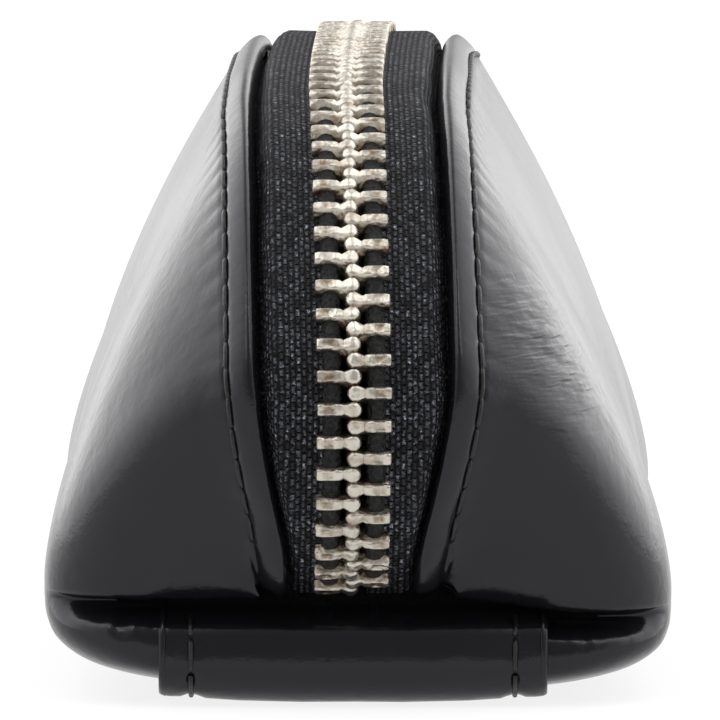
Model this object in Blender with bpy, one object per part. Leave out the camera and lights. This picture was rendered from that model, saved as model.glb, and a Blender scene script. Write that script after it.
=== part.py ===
"""Small boxed zip coin purse: the moulded parts, one closed body per object, in metres with +Z up."""
import math

import bmesh
import bpy
from mathutils import Matrix, Vector

MM = 0.001
RAD = math.pi / 180.0

# Outline of the purse, in millimetres. The near end is at -Y.
HALF_LENGTH = 60.0
HEIGHT = 49.4
SEAM_Z = 8.5
SEAM_HALF_WIDTH = 24.9
SIDE_WAIST = 0.9
CORNER_RADIUS = 7.5

# Arcs of the zip's arch, from the crown down to the seam: radius, and turn from level where each arc ends.
CROWN_TURN = 1.8
BROW_RADIUS = 97.0
SHOULDER_TURN = 12.5
SHOULDER_RADIUS = 37.7
NOSE_TURN = 57.5
NOSE_RADIUS = 10.9
LOW_BULGE = 1.114

# Leather and lining.
SLOT_HALF_WIDTH = 7.7
SLOT_END_HALF_WIDTH = 5.0
SLOT_TAPER = 24.0
PANEL_THICKNESS = 0.9
PANEL_SINK = 2.0
PANEL_FULLNESS = 0.38
RIDGE_WIDTH = 2.5
RIDGE_RISE = 0.75
LINING_THICKNESS = 0.5
GAP = 0.3

# Base. The sides turn in under it, and the strip, stiffener and floor lining take their width from that edge.
FLANGE_TURN_IN = 12.0
FLANGE_HALF_GAP = SEAM_HALF_WIDTH - FLANGE_TURN_IN
STRIP_LAP = 2.4
STRIP_HALF_WIDTH = FLANGE_HALF_GAP + STRIP_LAP
STRIP_THICKNESS = 1.0
STRIP_FLAT = 9.0
STIFFENER_THICKNESS = 0.75
STIFFENER_INSET = 0.5
STIFFENER_END_INSET = 2.5
FLOOR_LINING_LAP = 3.6
FLOOR_LINING_HALF_WIDTH = FLANGE_HALF_GAP + FLOOR_LINING_LAP
FLOOR_LINING_END_LAP = 1.5
FLOOR_LINING_THICKNESS = 0.4
FLOOR_CORNER = 3.5
BINDING_INSET = 5.9
BINDING_HALF_LENGTH = SEAM_HALF_WIDTH - BINDING_INSET
BINDING_BOW = 0.8

# Zip.
TOOTH_PITCH = 2.667
TOOTH_REACH = 2.95
TOOTH_NIB = 0.57
TOOTH_THICKNESS = 2.2
TOOTH_LEG = 0.46
TOOTH_HEAD = 0.54
FIRST_TOOTH = 0.9
CORD_RADIUS = 0.72
CORD_X = 1.75
TAPE_START = 3.35
TAPE_FLAT = 4.7
TAPE_THICKNESS = 0.5
TAPE_WING = 2.4
ROW_SPREAD = 1.9
ROW_END_SPREAD = 0.5
STOP_LENGTH = 1.9
STOP_GAP = 4.6
TAB_GAP = 1.6
TAB_HALF_WIDTH = 4.2
TAB_RISE = 0.75

# Slider and pull.
SLIDER_TURN = 49.5
SLIDER_LENGTH = 9.5
SLIDER_NECK = 4.45
SLIDER_NECK_END = 1.5
SLIDER_SHOULDER = 6.1
SLIDER_SHOULDER_START = 2.4
PLATE_THICKNESS = 0.9
PLATE_OVER = 1.4
PLATE_UNDER = 1.65
TAPE_SLOT_OVER = 0.6
TAPE_SLOT_UNDER = 0.85
POST_HALF_WIDTH = 1.12
CROWN_HALF_WIDTH = 1.0
CROWN_RISE = 5.0
CROWN_WALL = 0.8
CROWN_NEAR = -3.6
CROWN_FAR = 2.9
PAWL_HALF_WIDTH = 0.6
PAWL_THICKNESS = 0.3
PULL_LENGTH = 19.0
PULL_WIDTH = 5.4
PULL_NECK = 4.2
PULL_THICKNESS = 0.9
PULL_HOLE = 1.35
PIVOT_T = -0.4
PIVOT_H = 3.5

# Colour, roughness and metallic value of each finish.
FINISHES = {
    "leather": ((0.020, 0.020, 0.023), 0.35, 0.0),
    "lining": ((0.030, 0.030, 0.033), 0.75, 0.0),
    "tape": ((0.030, 0.031, 0.034), 0.80, 0.0),
    "teeth": ((0.72, 0.69, 0.63), 0.32, 1.0),
    "hardware": ((0.70, 0.68, 0.63), 0.28, 1.0),
    "board": ((0.20, 0.18, 0.15), 0.70, 0.0),
}


def arc_run(radius, start, end):
    """How far an arc goes outward between two turns."""
    return radius * (math.sin(end * RAD) - math.sin(start * RAD))


def arc_drop(radius, start, end):
    """How far an arc goes down between two turns."""
    return radius * (math.cos(start * RAD) - math.cos(end * RAD))


SIDE_ARCS = [
    (BROW_RADIUS, CROWN_TURN, SHOULDER_TURN),
    (SHOULDER_RADIUS, SHOULDER_TURN, NOSE_TURN),
    (NOSE_RADIUS, NOSE_TURN, 90.0),
]
CROWN_RUN = HALF_LENGTH - sum(arc_run(*arc) for arc in SIDE_ARCS)
CROWN_ARC = (CROWN_RUN / math.sin(CROWN_TURN * RAD), 0.0, CROWN_TURN)
NOSE_Z = HEIGHT - sum(arc_drop(*arc) for arc in [CROWN_ARC] + SIDE_ARCS)
SEAM_TURN = 90.0 + math.degrees(math.asin(1.0 / LOW_BULGE))
LOW_ARC = (LOW_BULGE * (NOSE_Z - SEAM_Z), 90.0, SEAM_TURN)


def chain_arcs():
    """Each arc with the length, y and z at which it starts, and the length of all of them."""
    length, y, z = 0.0, 0.0, HEIGHT
    chain = []
    for arc in [CROWN_ARC] + SIDE_ARCS + [LOW_ARC]:
        chain.append((length, y, z, arc))
        length += arc[0] * (arc[2] - arc[1]) * RAD
        y += arc_run(*arc)
        z -= arc_drop(*arc)
    return chain, length, y


ARCS, HALF_ARC, SEAM_Y = chain_arcs()
SLIDER_S = ARCS[2][0] + SHOULDER_RADIUS * (SLIDER_TURN - SHOULDER_TURN) * RAD
STOP_S = SLIDER_S + 0.5 * SLIDER_LENGTH + STOP_GAP
TAB_S = STOP_S + STOP_LENGTH + TAB_GAP


def smooth(x):
    x = max(0.0, min(1.0, x))
    return x * x * (3.0 - 2.0 * x)


def between(x, table):
    """Value at x in a table of (x, value) pairs, straight between them."""
    if x <= table[0][0]:
        return table[0][1]
    for (x0, v0), (x1, v1) in zip(table, table[1:]):
        if x <= x1:
            return v0 + (v1 - v0) * (x - x0) / (x1 - x0)
    return table[-1][1]


def arch(s):
    """Point and turn of the zip's outer face, s mm along it from the top centre."""
    a = abs(s)
    length, y0, z0, (radius, start, end) = [arc for arc in ARCS if a >= arc[0]][-1]
    b0 = start * RAD
    b = b0 + (a - length) / radius
    y = y0 + radius * (math.sin(b) - math.sin(b0))
    z = z0 - radius * (math.cos(b0) - math.cos(b))
    return math.copysign(y, s), z, math.copysign(b, s)


def on_arch(s, x, n):
    """Point x mm across the zip and n mm out from its outer face."""
    y, z, b = arch(s)
    return Vector((x, y + n * math.sin(b), z + n * math.cos(b)))


def zip_frame(s):
    """Frame in the middle of the teeth: across, along the zip to the far end, and out."""
    b = arch(s)[2]
    turn = Matrix.Rotation(-b, 4, "X")
    return Matrix.Translation(on_arch(s, 0.0, -0.5 * TOOTH_THICKNESS)) @ turn


def slot(s):
    """Half the width between the two leather edges."""
    low = smooth((abs(s) - (HALF_ARC - SLOT_TAPER)) / SLOT_TAPER)
    return SLOT_HALF_WIDTH + (SLOT_END_HALF_WIDTH - SLOT_HALF_WIDTH) * low


def ridge_fall(s):
    """How steeply the turned edge leaves the zip, in radians below level across it."""
    table = [(12, 32), (40, 28), (57, 25), (90, 18), (120, 12), (SEAM_TURN, 8)]
    return between(abs(math.degrees(arch(s)[2])), table) * RAD


def panel_fall(s):
    """How steeply the leather goes on from the stitched foot of the turned edge."""
    table = [(12, 58), (40, 46), (57, 38), (90, 26), (120, 17), (SEAM_TURN, 10)]
    return between(abs(math.degrees(arch(s)[2])), table) * RAD


def spread(s):
    """How far a row of teeth stands off the middle, inside the slider and past it."""
    t = s - SLIDER_S
    if t < 0.5 * SLIDER_LENGTH:
        return ROW_SPREAD * smooth((t + 1.5) / 5.0)
    narrow = smooth((s - STOP_S - STOP_LENGTH) / 6.0)
    return ROW_SPREAD + (ROW_END_SPREAD - ROW_SPREAD) * narrow


def mesh_object(name, bm):
    """Object from a bmesh in millimetres, with its faces looking out."""
    bmesh.ops.recalc_face_normals(bm, faces=bm.faces)
    if bm.calc_volume(signed=True) < 0.0:
        bmesh.ops.reverse_faces(bm, faces=bm.faces)
    mesh = bpy.data.meshes.new(name)
    bm.transform(Matrix.Scale(MM, 4))
    bm.to_mesh(mesh)
    bm.free()
    obj = bpy.data.objects.new(name, mesh)
    bpy.context.scene.collection.objects.link(obj)
    return obj


def loft(name, rings):
    """Closed body through rings of points, each the same length, capped at both ends."""
    bm = bmesh.new()
    loops = [[bm.verts.new(p) for p in ring] for ring in rings]
    for a, b in zip(loops, loops[1:]):
        for j in range(len(a)):
            bm.faces.new((a[j - 1], a[j], b[j], b[j - 1]))
    bm.faces.new(loops[0])
    bm.faces.new(loops[-1])
    return mesh_object(name, bm)


def prism_mesh(outline, low, high, frame):
    """Flat outline raised between two heights in a frame."""
    bm = bmesh.new()
    face = bm.faces.new([bm.verts.new((a, b, low)) for a, b in outline])
    raised = bmesh.ops.extrude_face_region(bm, geom=[face])["geom"]
    verts = [v for v in raised if isinstance(v, bmesh.types.BMVert)]
    bmesh.ops.translate(bm, verts=verts, vec=(0.0, 0.0, high - low))
    bm.transform(frame)
    return bm


def prism(name, outline, low, high, frame):
    return mesh_object(name, prism_mesh(outline, low, high, frame))


def both_sides(right):
    """Outline from its right half, mirrored across the zip."""
    return right + [(-x, t) for x, t in reversed(right)]


def tube(name, path, radius):
    """Round cord along a path, as a mesh with closed ends."""
    curve = bpy.data.curves.new(name, "CURVE")
    curve.dimensions = "3D"
    curve.bevel_depth = radius
    curve.bevel_resolution = 1
    curve.use_fill_caps = True
    spline = curve.splines.new("POLY")
    spline.points.add(len(path) - 1)
    for point, p in zip(spline.points, path):
        point.co = (*p, 1.0)
    guide = bpy.data.objects.new(name + "_path", curve)
    bpy.context.scene.collection.objects.link(guide)
    graph = bpy.context.evaluated_depsgraph_get()
    bm = bmesh.new()
    bm.from_mesh(bpy.data.meshes.new_from_object(guide.evaluated_get(graph)))
    bmesh.ops.remove_doubles(bm, verts=bm.verts, dist=0.001)
    bpy.data.objects.remove(guide)
    return mesh_object(name, bm)


def boolean(obj, other, operation):
    """Join or cut one body with another, which is then gone."""
    mod = obj.modifiers.new("fit", "BOOLEAN")
    mod.operation = operation
    mod.solver = "EXACT"
    mod.object = other
    graph = bpy.context.evaluated_depsgraph_get()
    mesh = bpy.data.meshes.new_from_object(obj.evaluated_get(graph))
    obj.modifiers.clear()
    obj.data = mesh
    bpy.data.objects.remove(other)
    return obj


def keep(obj, finish, pivot=(0.0, 0.0, 0.0)):
    """Put a finished piece in the purse's collection, with its own material and its origin on a pivot."""
    colour, roughness, metallic = FINISHES[finish]
    material = bpy.data.materials.new(obj.name + "_" + finish)
    material.use_nodes = True
    shader = material.node_tree.nodes["Principled BSDF"]
    shader.inputs["Base Color"].default_value = (*colour, 1.0)
    shader.inputs["Roughness"].default_value = roughness
    shader.inputs["Metallic"].default_value = metallic
    obj.data.materials.clear()
    obj.data.materials.append(material)
    place = Vector(pivot) * MM
    obj.data.transform(Matrix.Translation(-place))
    obj.location = place
    obj.data.shade_smooth()
    obj.data.set_sharp_from_angle(angle=40.0 * RAD)
    bpy.context.scene.collection.objects.unlink(obj)
    bpy.data.collections["coin_purse"].objects.link(obj)
    return obj


def half_outline(x0, half_x, half_y, radius, counts):
    """Half of a rounded rectangle with a slight waist, from (x0, -half_y) round the side to (x0, half_y)."""
    n_end, n_arc, n_side = counts
    near = []
    for i in range(n_end):
        near.append((x0 + (half_x - radius - x0) * i / n_end, -half_y))
    for i in range(n_arc):
        a = 0.5 * math.pi * i / n_arc
        near.append((half_x - radius + radius * math.sin(a), -half_y + radius - radius * math.cos(a)))
    side = []
    for i in range(n_side + 1):
        along = 2.0 * i / n_side - 1.0
        waist = SIDE_WAIST * (1.0 - along * along) ** 2
        side.append((half_x - waist, (half_y - radius) * along))
    return near + side + [(x, -y) for x, y in reversed(near)]


PANEL_COUNTS = (6, 5, 12)
SEAM_OUTLINE = half_outline(SLOT_END_HALF_WIDTH, SEAM_HALF_WIDTH, SEAM_Y, CORNER_RADIUS, PANEL_COUNTS)


def arch_stations(outline):
    """Where along the arch each point of the lower outline is joined to."""
    run = [0.0]
    for a, b in zip(outline, outline[1:]):
        run.append(run[-1] + math.dist(a, b))
    return [HALF_ARC * (2.0 * r / run[-1] - 1.0) for r in run]


STATIONS = arch_stations(SEAM_OUTLINE)


def panel_frame(s, side, fall):
    """Start of the leather at the zip, with its outward-sloping and standing directions."""
    b = arch(s)[2]
    up = Vector((0.0, math.sin(b), math.cos(b)))
    across = Vector((side, 0.0, 0.0))
    start = on_arch(s, side * slot(s), -PANEL_SINK)
    return start, across * math.cos(fall) - up * math.sin(fall), across * math.sin(fall) + up * math.cos(fall)


def ridge_scale(index, side):
    """How much of the full turned edge fits at this place, less only at the ends."""
    s = STATIONS[index]
    x, y = SEAM_OUTLINE[index]
    start = panel_frame(s, side, ridge_fall(s))[0]
    room = (start - Vector((side * x, y, SEAM_Z))).length
    return min(1.0, 0.35 * room / RIDGE_WIDTH)


def panel_line(index, side, rows, drop):
    """One line of the leather from the foot of its turned edge to the seam."""
    s = STATIONS[index]
    x, y = SEAM_OUTLINE[index]
    edge, lean, stand = panel_frame(s, side, ridge_fall(s))
    along = panel_frame(s, side, panel_fall(s))[1]
    start = edge + lean * (RIDGE_WIDTH * ridge_scale(index, side))
    end = Vector((side * x, y, SEAM_Z + drop))
    before = SEAM_OUTLINE[max(index - 1, 0)]
    after = SEAM_OUTLINE[min(index + 1, len(SEAM_OUTLINE) - 1)]
    tangent = Vector((after[0] - before[0], after[1] - before[1])).normalized()
    out = Vector((side * abs(tangent.y), math.copysign(abs(tangent.x), y), 0.0))
    tuck = between(abs(out.y), [(0.0, 2.0), (0.7, 24.0), (1.0, 58.0)]) * RAD
    arrive = -out * math.sin(tuck) - Vector((0.0, 0.0, math.cos(tuck)))
    pull = PANEL_FULLNESS * (end - start).length
    p1 = start + along * pull
    p2 = end - arrive * pull
    line = []
    for i in range(rows + 1):
        t = i / rows
        q = 1.0 - t
        line.append(start * q**3 + p1 * (3 * q * q * t) + p2 * (3 * q * t * t) + end * t**3)
    return line


def grid_normals(grid):
    """Outward direction at each point of a grid of lines."""
    out = []
    for i, line in enumerate(grid):
        before = grid[max(i - 1, 0)]
        after = grid[min(i + 1, len(grid) - 1)]
        row = []
        for j, p in enumerate(line):
            across = line[min(j + 1, len(line) - 1)] - line[max(j - 1, 0)]
            n = (after[j] - before[j]).cross(across).normalized()
            away = Vector((p.x, 0.3 * p.y, p.z - 0.3 * HEIGHT))
            row.append(n if n.dot(away) > 0.0 else -n)
        out.append(row)
    return out


def panel(name, side):
    """Leather side with its turned edge along the zip."""
    first = 1
    grid = [panel_line(i, side, 8, 0.0) for i in range(first, len(STATIONS) - first)]
    section = [(0.0, -PANEL_THICKNESS), (0.0, 0.25), (0.35, 0.6), (1.1, RIDGE_RISE), (1.9, 0.55)]
    rings = []
    for i, (line, normals) in enumerate(zip(grid, grid_normals(grid))):
        s = STATIONS[i + first]
        start, lean, stand = panel_frame(s, side, ridge_fall(s))
        k = ridge_scale(i + first, side)
        ring = [start + lean * (k * a) + stand * (h * k if h > 0.0 else h) for a, h in section]
        ring += line
        ring += [p - n * PANEL_THICKNESS for p, n in reversed(list(zip(line, normals)))]
        rings.append(ring)
    return loft(name, rings)


def lining(name, side):
    """Cloth lining behind one leather side."""
    grid = [panel_line(i, side, 6, 1.6) for i in range(2, len(STATIONS) - 2)]
    near = PANEL_THICKNESS + TAPE_THICKNESS + 3.0 * GAP
    far = near + LINING_THICKNESS
    rings = []
    for line, normals in zip(grid, grid_normals(grid)):
        outer = [p - n * near for p, n in zip(line, normals)]
        inner = [p - n * far for p, n in zip(line, normals)]
        rings.append(outer + inner[::-1])
    return loft(name, rings)


def tape(name, side):
    """Woven tape of one side, from beside the teeth to under the leather edge."""
    count = 54
    half = 0.5 * TAPE_THICKNESS
    depth = PANEL_THICKNESS + GAP + half
    rings = []
    for i in range(count + 1):
        s = (HALF_ARC - 1.2) * (2.0 * i / count - 1.0)
        start, lean, stand = panel_frame(s, side, ridge_fall(s))
        b = arch(s)[2]
        up = Vector((0.0, math.sin(b), math.cos(b)))
        edge = start - stand * depth
        wing = edge + lean * (TAPE_WING * slot(s) / SLOT_HALF_WIDTH)
        flat = min(TAPE_FLAT + spread(s), abs(edge.x) - 0.5)
        inner = min(TAPE_START + spread(s), flat - 0.6)
        level = -0.5 * TOOTH_THICKNESS
        middle = [(on_arch(s, side * inner, level), up), (on_arch(s, side * flat, level), up)]
        middle += [(edge, (up + stand).normalized()), (wing, stand)]
        outer = [p + n * half for p, n in middle]
        rings.append(outer + [p - n * half for p, n in reversed(middle)])
    return loft(name, rings)


def tooth_row(name, side):
    """Metal teeth of one side on the cord they are clamped to."""
    first = -HALF_ARC + FIRST_TOOTH + (0.5 * TOOTH_PITCH if side > 0 else 0.0)
    last = STOP_S - 0.5 * TOOTH_PITCH
    start = -HALF_ARC + 0.5
    count = 50
    path = []
    for i in range(count + 1):
        s = start + (STOP_S + STOP_LENGTH + 1.0 - start) * i / count
        path.append(on_arch(s, side * (CORD_X + spread(s)), -0.5 * TOOTH_THICKNESS))
    half = [
        (-TOOTH_REACH, TOOTH_LEG),
        (-0.7, TOOTH_LEG),
        (-0.45, TOOTH_HEAD),
        (0.3, TOOTH_HEAD),
        (TOOTH_NIB, 0.25),
    ]
    outline = [(-side * x, -t) for x, t in half] + [(-side * x, t) for x, t in reversed(half)]
    low, high = -0.5 * TOOTH_THICKNESS, 0.5 * TOOTH_THICKNESS
    teeth = bmesh.new()
    for i in range(int((last - first) / TOOTH_PITCH) + 1):
        s = first + i * TOOTH_PITCH
        frame = zip_frame(s) @ Matrix.Translation((side * spread(s), 0.0, 0.0))
        tooth = prism_mesh(outline, low, high, frame)
        copy = bpy.data.meshes.new("tooth")
        tooth.to_mesh(copy)
        tooth.free()
        teeth.from_mesh(copy)
    row = tube(name, path, CORD_RADIUS)
    return boolean(row, mesh_object("teeth", teeth), "UNION")


def top_stop(name, side):
    """Small clamp on the cord at the end of one row."""
    s = STOP_S + 0.5 * STOP_LENGTH
    half = 0.5 * STOP_LENGTH
    near, far = 0.15, TOOTH_REACH
    cut = 0.25
    right = [
        (near + cut, -half),
        (far - cut, -half),
        (far, -half + cut),
        (far, half - cut),
        (far - cut, half),
        (near + cut, half),
        (near, half - cut),
        (near, -half + cut),
    ]
    outline = [(side * (x + spread(s)), t) for x, t in right]
    stop = prism(name, outline, -1.2, 1.2, zip_frame(s))
    path = []
    for i in range(6):
        q = s - 2.0 * STOP_LENGTH + 4.0 * STOP_LENGTH * i / 5
        path.append(on_arch(q, side * (CORD_X + spread(q)), -0.5 * TOOTH_THICKNESS))
    return boolean(stop, tube("bore", path, CORD_RADIUS + 0.22), "DIFFERENCE")


# Underside, from the seam down: inset from the seam's width, reach past the seam's end, share of its height.
BOWL_STEPS = [
    (0.25, 0.1, 0.935),
    (0.5, 0.7, 0.74),
    (1.8, 0.5, 0.54),
    (4.3, -0.9, 0.36),
    (7.5, -3.7, 0.235),
    (10.5, -7.0, 0.16),
]
BOWL = [(SEAM_HALF_WIDTH - inset, SEAM_Y + reach, SEAM_Z * share) for inset, reach, share in BOWL_STEPS]
FLOOR_Z = BOWL[-1][2]


def flange(name, side):
    """Lower edge of one leather side, turned under to the base strip."""
    lines = []
    for half_x, half_y, z in BOWL:
        radius = min(CORNER_RADIUS + 0.4 * (BOWL[0][2] - z), half_x - FLANGE_HALF_GAP - 0.2)
        line = half_outline(FLANGE_HALF_GAP, half_x, half_y, radius, (4, 5, 12))
        lines.append([Vector((side * x, y, z)) for x, y in line])
    grid = [list(column) for column in zip(*lines)]
    rings = []
    for column, normals in zip(grid, grid_normals(grid)):
        inner = [p - n * PANEL_THICKNESS for p, n in zip(column, normals)]
        rings.append(column + inner[::-1])
    return loft(name, rings)


def end_profile(offset):
    """Side view of the underside, from one seam to the other, moved out by an offset."""
    half = [(y, z) for x, y, z in BOWL] + [(BOWL[-1][1] - STRIP_FLAT, FLOOR_Z)]
    moved = []
    for i, (y, z) in enumerate(half):
        before = half[max(i - 1, 0)]
        after = half[min(i + 1, len(half) - 1)]
        along = Vector((after[0] - before[0], after[1] - before[1])).normalized()
        moved.append((y - along.y * offset, z + along.x * offset))
    moved[-1] = (moved[-1][0], FLOOR_Z - offset)
    return [(-y, z) for y, z in moved] + [(y, z) for y, z in reversed(moved)]


def base_strip(name):
    """Strip under the base with turned edges, brought up to both seams."""
    half = STRIP_HALF_WIDTH
    outer = end_profile(FLOOR_Z)
    inner = end_profile(FLOOR_Z - STRIP_THICKNESS)
    edge = [(half - 0.5, 0.0), (half - 0.15, 0.12), (half, 0.45)]
    section = [(-x, f) for x, f in reversed(edge)] + edge
    rings = []
    for (yo, zo), (yi, zi) in zip(outer, inner):
        ring = [(x, yo + (yi - yo) * f, zo + (zi - zo) * f) for x, f in section]
        rings.append(ring + [(half, yi, zi), (-half, yi, zi)])
    return loft(name, rings)


def slab(name, half_x, half_y, low, high):
    """Flat sheet with rounded corners."""
    bm = bmesh.new()
    size = Matrix.Diagonal((2.0 * half_x, 2.0 * half_y, high - low, 1.0))
    bmesh.ops.create_cube(bm, size=1.0, matrix=Matrix.Translation((0.0, 0.0, 0.5 * (low + high))) @ size)
    upright = [e for e in bm.edges if abs(e.verts[0].co.z - e.verts[1].co.z) > 0.5 * (high - low)]
    bmesh.ops.bevel(bm, geom=upright, offset=FLOOR_CORNER, segments=4, profile=0.5, affect="EDGES")
    return mesh_object(name, bm)


def binding(name, end):
    """Folded strip over the raw edges of one seam, on the inside."""
    section = [(2.1, -3.4), (3.7, -3.6), (4.1, -3.0), (4.1, 1.8), (3.7, 2.4), (2.5, 2.4), (2.1, 1.8)]
    rings = []
    for i in range(9):
        x = BINDING_HALF_LENGTH * (i / 4.0 - 1.0)
        bow = BINDING_BOW * (x / BINDING_HALF_LENGTH) ** 2
        rings.append([(x, end * (SEAM_Y - inset - bow), SEAM_Z + z) for inset, z in section])
    return loft(name, rings)


def end_tab(name):
    """Leather tab over the tape ends below the parked slider."""
    half = TAB_HALF_WIDTH
    steps = 12
    rings = []
    for i in range(steps + 1):
        s = TAB_S + (HALF_ARC - 0.8 - TAB_S) * i / steps
        rise = TAB_RISE if 0 < i < steps else 0.6 * TAB_RISE
        right = [(half, -0.2), (half, rise - 0.3), (half - 0.4, rise)]
        rings.append([on_arch(s, x, n) for x, n in both_sides(right)])
    return loft(name, rings)


SLIDER_FRAME = zip_frame(SLIDER_S)
PLATE_TOP = PLATE_OVER + PLATE_THICKNESS
CROWN_FOOT = PLATE_TOP + 0.12


def side_view(frame):
    """Frame whose outlines run along the zip and out from it, raised across it."""
    return frame @ Matrix(((0, 0, 1, 0), (1, 0, 0, 0), (0, 1, 0, 0), (0, 0, 0, 1)))


def slider_body(name):
    """Two plates joined by a wedge post, with lips that leave a slot for each tape."""
    half = 0.5 * SLIDER_LENGTH
    right = [
        (SLIDER_NECK - 0.3, -half),
        (SLIDER_NECK - 0.1, -half + 0.3),
        (SLIDER_NECK, -SLIDER_NECK_END),
        (SLIDER_SHOULDER, SLIDER_SHOULDER_START),
        (SLIDER_SHOULDER, half - 0.8),
        (SLIDER_SHOULDER - 0.6, half),
    ]
    body = prism(name, both_sides(right), -PLATE_UNDER - PLATE_THICKNESS, PLATE_TOP, SLIDER_FRAME)
    past = half + 0.5
    for side in (-1.0, 1.0):
        outer = []
        for i in range(9):
            t = past * (i / 4.0 - 1.0)
            outer.append((side * (TOOTH_REACH + 0.28 + spread(SLIDER_S + t)), t))
        post = [(-0.9, -past), (-0.9, 0.6), (0.06, 0.9), (POST_HALF_WIDTH, 3.2), (POST_HALF_WIDTH, past)]
        channel = outer + [(side * x, t) for x, t in reversed(post)]
        body = boolean(body, prism("channel", channel, -PLATE_UNDER, PLATE_OVER, SLIDER_FRAME), "DIFFERENCE")
        wide = SLIDER_SHOULDER + 2.0
        opening = [(side * x, t) for x, t in ((2.0, -past), (wide, -past), (wide, past), (TOOTH_REACH + 0.25, past))]
        body = boolean(body, prism("slot", opening, -TAPE_SLOT_UNDER, TAPE_SLOT_OVER, SLIDER_FRAME), "DIFFERENCE")
    return body


def slider_crown(name):
    """Bridge over the top plate that holds the pull."""
    cut = 0.6
    outer = [
        (CROWN_NEAR, CROWN_FOOT),
        (CROWN_NEAR, CROWN_RISE - cut),
        (CROWN_NEAR + cut, CROWN_RISE),
        (CROWN_FAR - cut, CROWN_RISE),
        (CROWN_FAR, CROWN_RISE - cut),
        (CROWN_FAR, CROWN_FOOT),
    ]
    near, far, roof = CROWN_NEAR + CROWN_WALL + 0.2, CROWN_FAR - CROWN_WALL - 0.2, CROWN_RISE - CROWN_WALL
    inner = [(far, CROWN_FOOT), (far, roof - 0.3), (far - 0.4, roof), (near + 0.4, roof), (near, roof - 0.3)]
    outline = outer + inner + [(near, CROWN_FOOT)]
    return prism(name, outline, -CROWN_HALF_WIDTH, CROWN_HALF_WIDTH, side_view(SLIDER_FRAME))


def lock_pawl(name):
    """Spring leaf of the lock, lying on the plate inside the bridge."""
    half = PAWL_HALF_WIDTH
    right = [(half, CROWN_NEAR + 1.3), (half, 1.3), (half - 0.25, 1.6)]
    return prism(name, both_sides(right), CROWN_FOOT, CROWN_FOOT + PAWL_THICKNESS, SLIDER_FRAME)


PIVOT = SLIDER_FRAME @ Vector((0.0, PIVOT_T, PIVOT_H))


def pull_tab(name):
    """Metal pull: a round bar through the bridge, two arms and a leaf with a hole near its end."""
    half = 0.5 * PULL_WIDTH
    thick = 0.5 * PULL_THICKNESS
    arm = 0.5 * PULL_NECK
    frame = SLIDER_FRAME @ Matrix.Translation((0.0, PIVOT_T, PIVOT_H))
    right = [
        (arm, 0.0),
        (arm, 4.6),
        (half, 6.6),
        (half, PULL_LENGTH - 1.6),
        (half - 1.2, PULL_LENGTH - 0.3),
    ]
    body = prism(name, both_sides(right), -thick, thick, frame)
    eye_half = CROWN_HALF_WIDTH + GAP
    eye = both_sides([(eye_half, -2.0), (eye_half, 4.3), (eye_half - 0.4, 4.8)])
    body = boolean(body, prism("eye", eye, -2.0, 2.0, frame), "DIFFERENCE")
    bar = tube("bar", [PIVOT - Vector((arm, 0.0, 0.0)), PIVOT + Vector((arm, 0.0, 0.0))], thick)
    body = boolean(body, bar, "UNION")
    hole_at = frame @ Vector((0.0, PULL_LENGTH - 3.4, 0.0))
    out = frame.to_3x3() @ Vector((0.0, 0.0, 2.0))
    return boolean(body, tube("hole", [hole_at - out, hole_at + out], PULL_HOLE), "DIFFERENCE")


def build_half(word, side):
    """All the pieces of one half, which turns about the fold beside the base."""
    fold = (side * (SEAM_HALF_WIDTH + 0.5), 0.0, SEAM_Z - GAP)
    keep(panel(word + "_panel", side), "leather", fold)
    keep(lining(word + "_lining", side), "lining", fold)
    keep(tape(word + "_tape", side), "tape", fold)
    keep(tooth_row(word + "_teeth", side), "teeth", fold)
    keep(top_stop(word + "_top_stop", side), "hardware", fold)
    keep(flange(word + "_flange", side), "leather")


def build_base():
    """The pieces that stay on the ground."""
    keep(base_strip("base_strip"), "leather")
    low = FLOOR_Z
    half_y = BOWL[-1][1] - STIFFENER_END_INSET
    stiff_x = FLANGE_HALF_GAP - STIFFENER_INSET
    keep(slab("base_stiffener", stiff_x, half_y, low, low + STIFFENER_THICKNESS), "board")
    low = FLOOR_Z + 2.0 * PANEL_THICKNESS - 0.1
    lining_y = half_y + FLOOR_LINING_END_LAP
    floor = slab("base_lining", FLOOR_LINING_HALF_WIDTH, lining_y, low, low + FLOOR_LINING_THICKNESS)
    keep(floor, "lining")
    keep(binding("near_seam_binding", -1.0), "lining")
    keep(binding("far_seam_binding", 1.0), "lining")
    keep(end_tab("zip_end_tab"), "leather")


def build_slider():
    """The slider, which turns about the centre of the far shoulder, and its pull."""
    y, z, b = arch(SLIDER_S)
    centre = (0.0, y - SHOULDER_RADIUS * math.sin(b), z - SHOULDER_RADIUS * math.cos(b))
    keep(slider_body("slider_body"), "hardware", centre)
    keep(slider_crown("slider_crown"), "hardware", centre)
    keep(lock_pawl("lock_pawl"), "hardware", centre)
    keep(pull_tab("pull_tab"), "hardware", PIVOT)


def main():
    for obj in list(bpy.data.objects):
        bpy.data.objects.remove(obj)
    purse = bpy.data.collections.new("coin_purse")
    bpy.context.scene.collection.children.link(purse)
    build_half("left", -1.0)
    build_half("right", 1.0)
    build_base()
    build_slider()


main()
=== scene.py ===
"""Looks of a small boxed zip coin purse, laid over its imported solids."""
import math

import bmesh
import bpy
import numpy as np
from bpy.props import FloatProperty, FloatVectorProperty, IntProperty, PointerProperty
from mathutils import Matrix, Vector, noise


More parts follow.
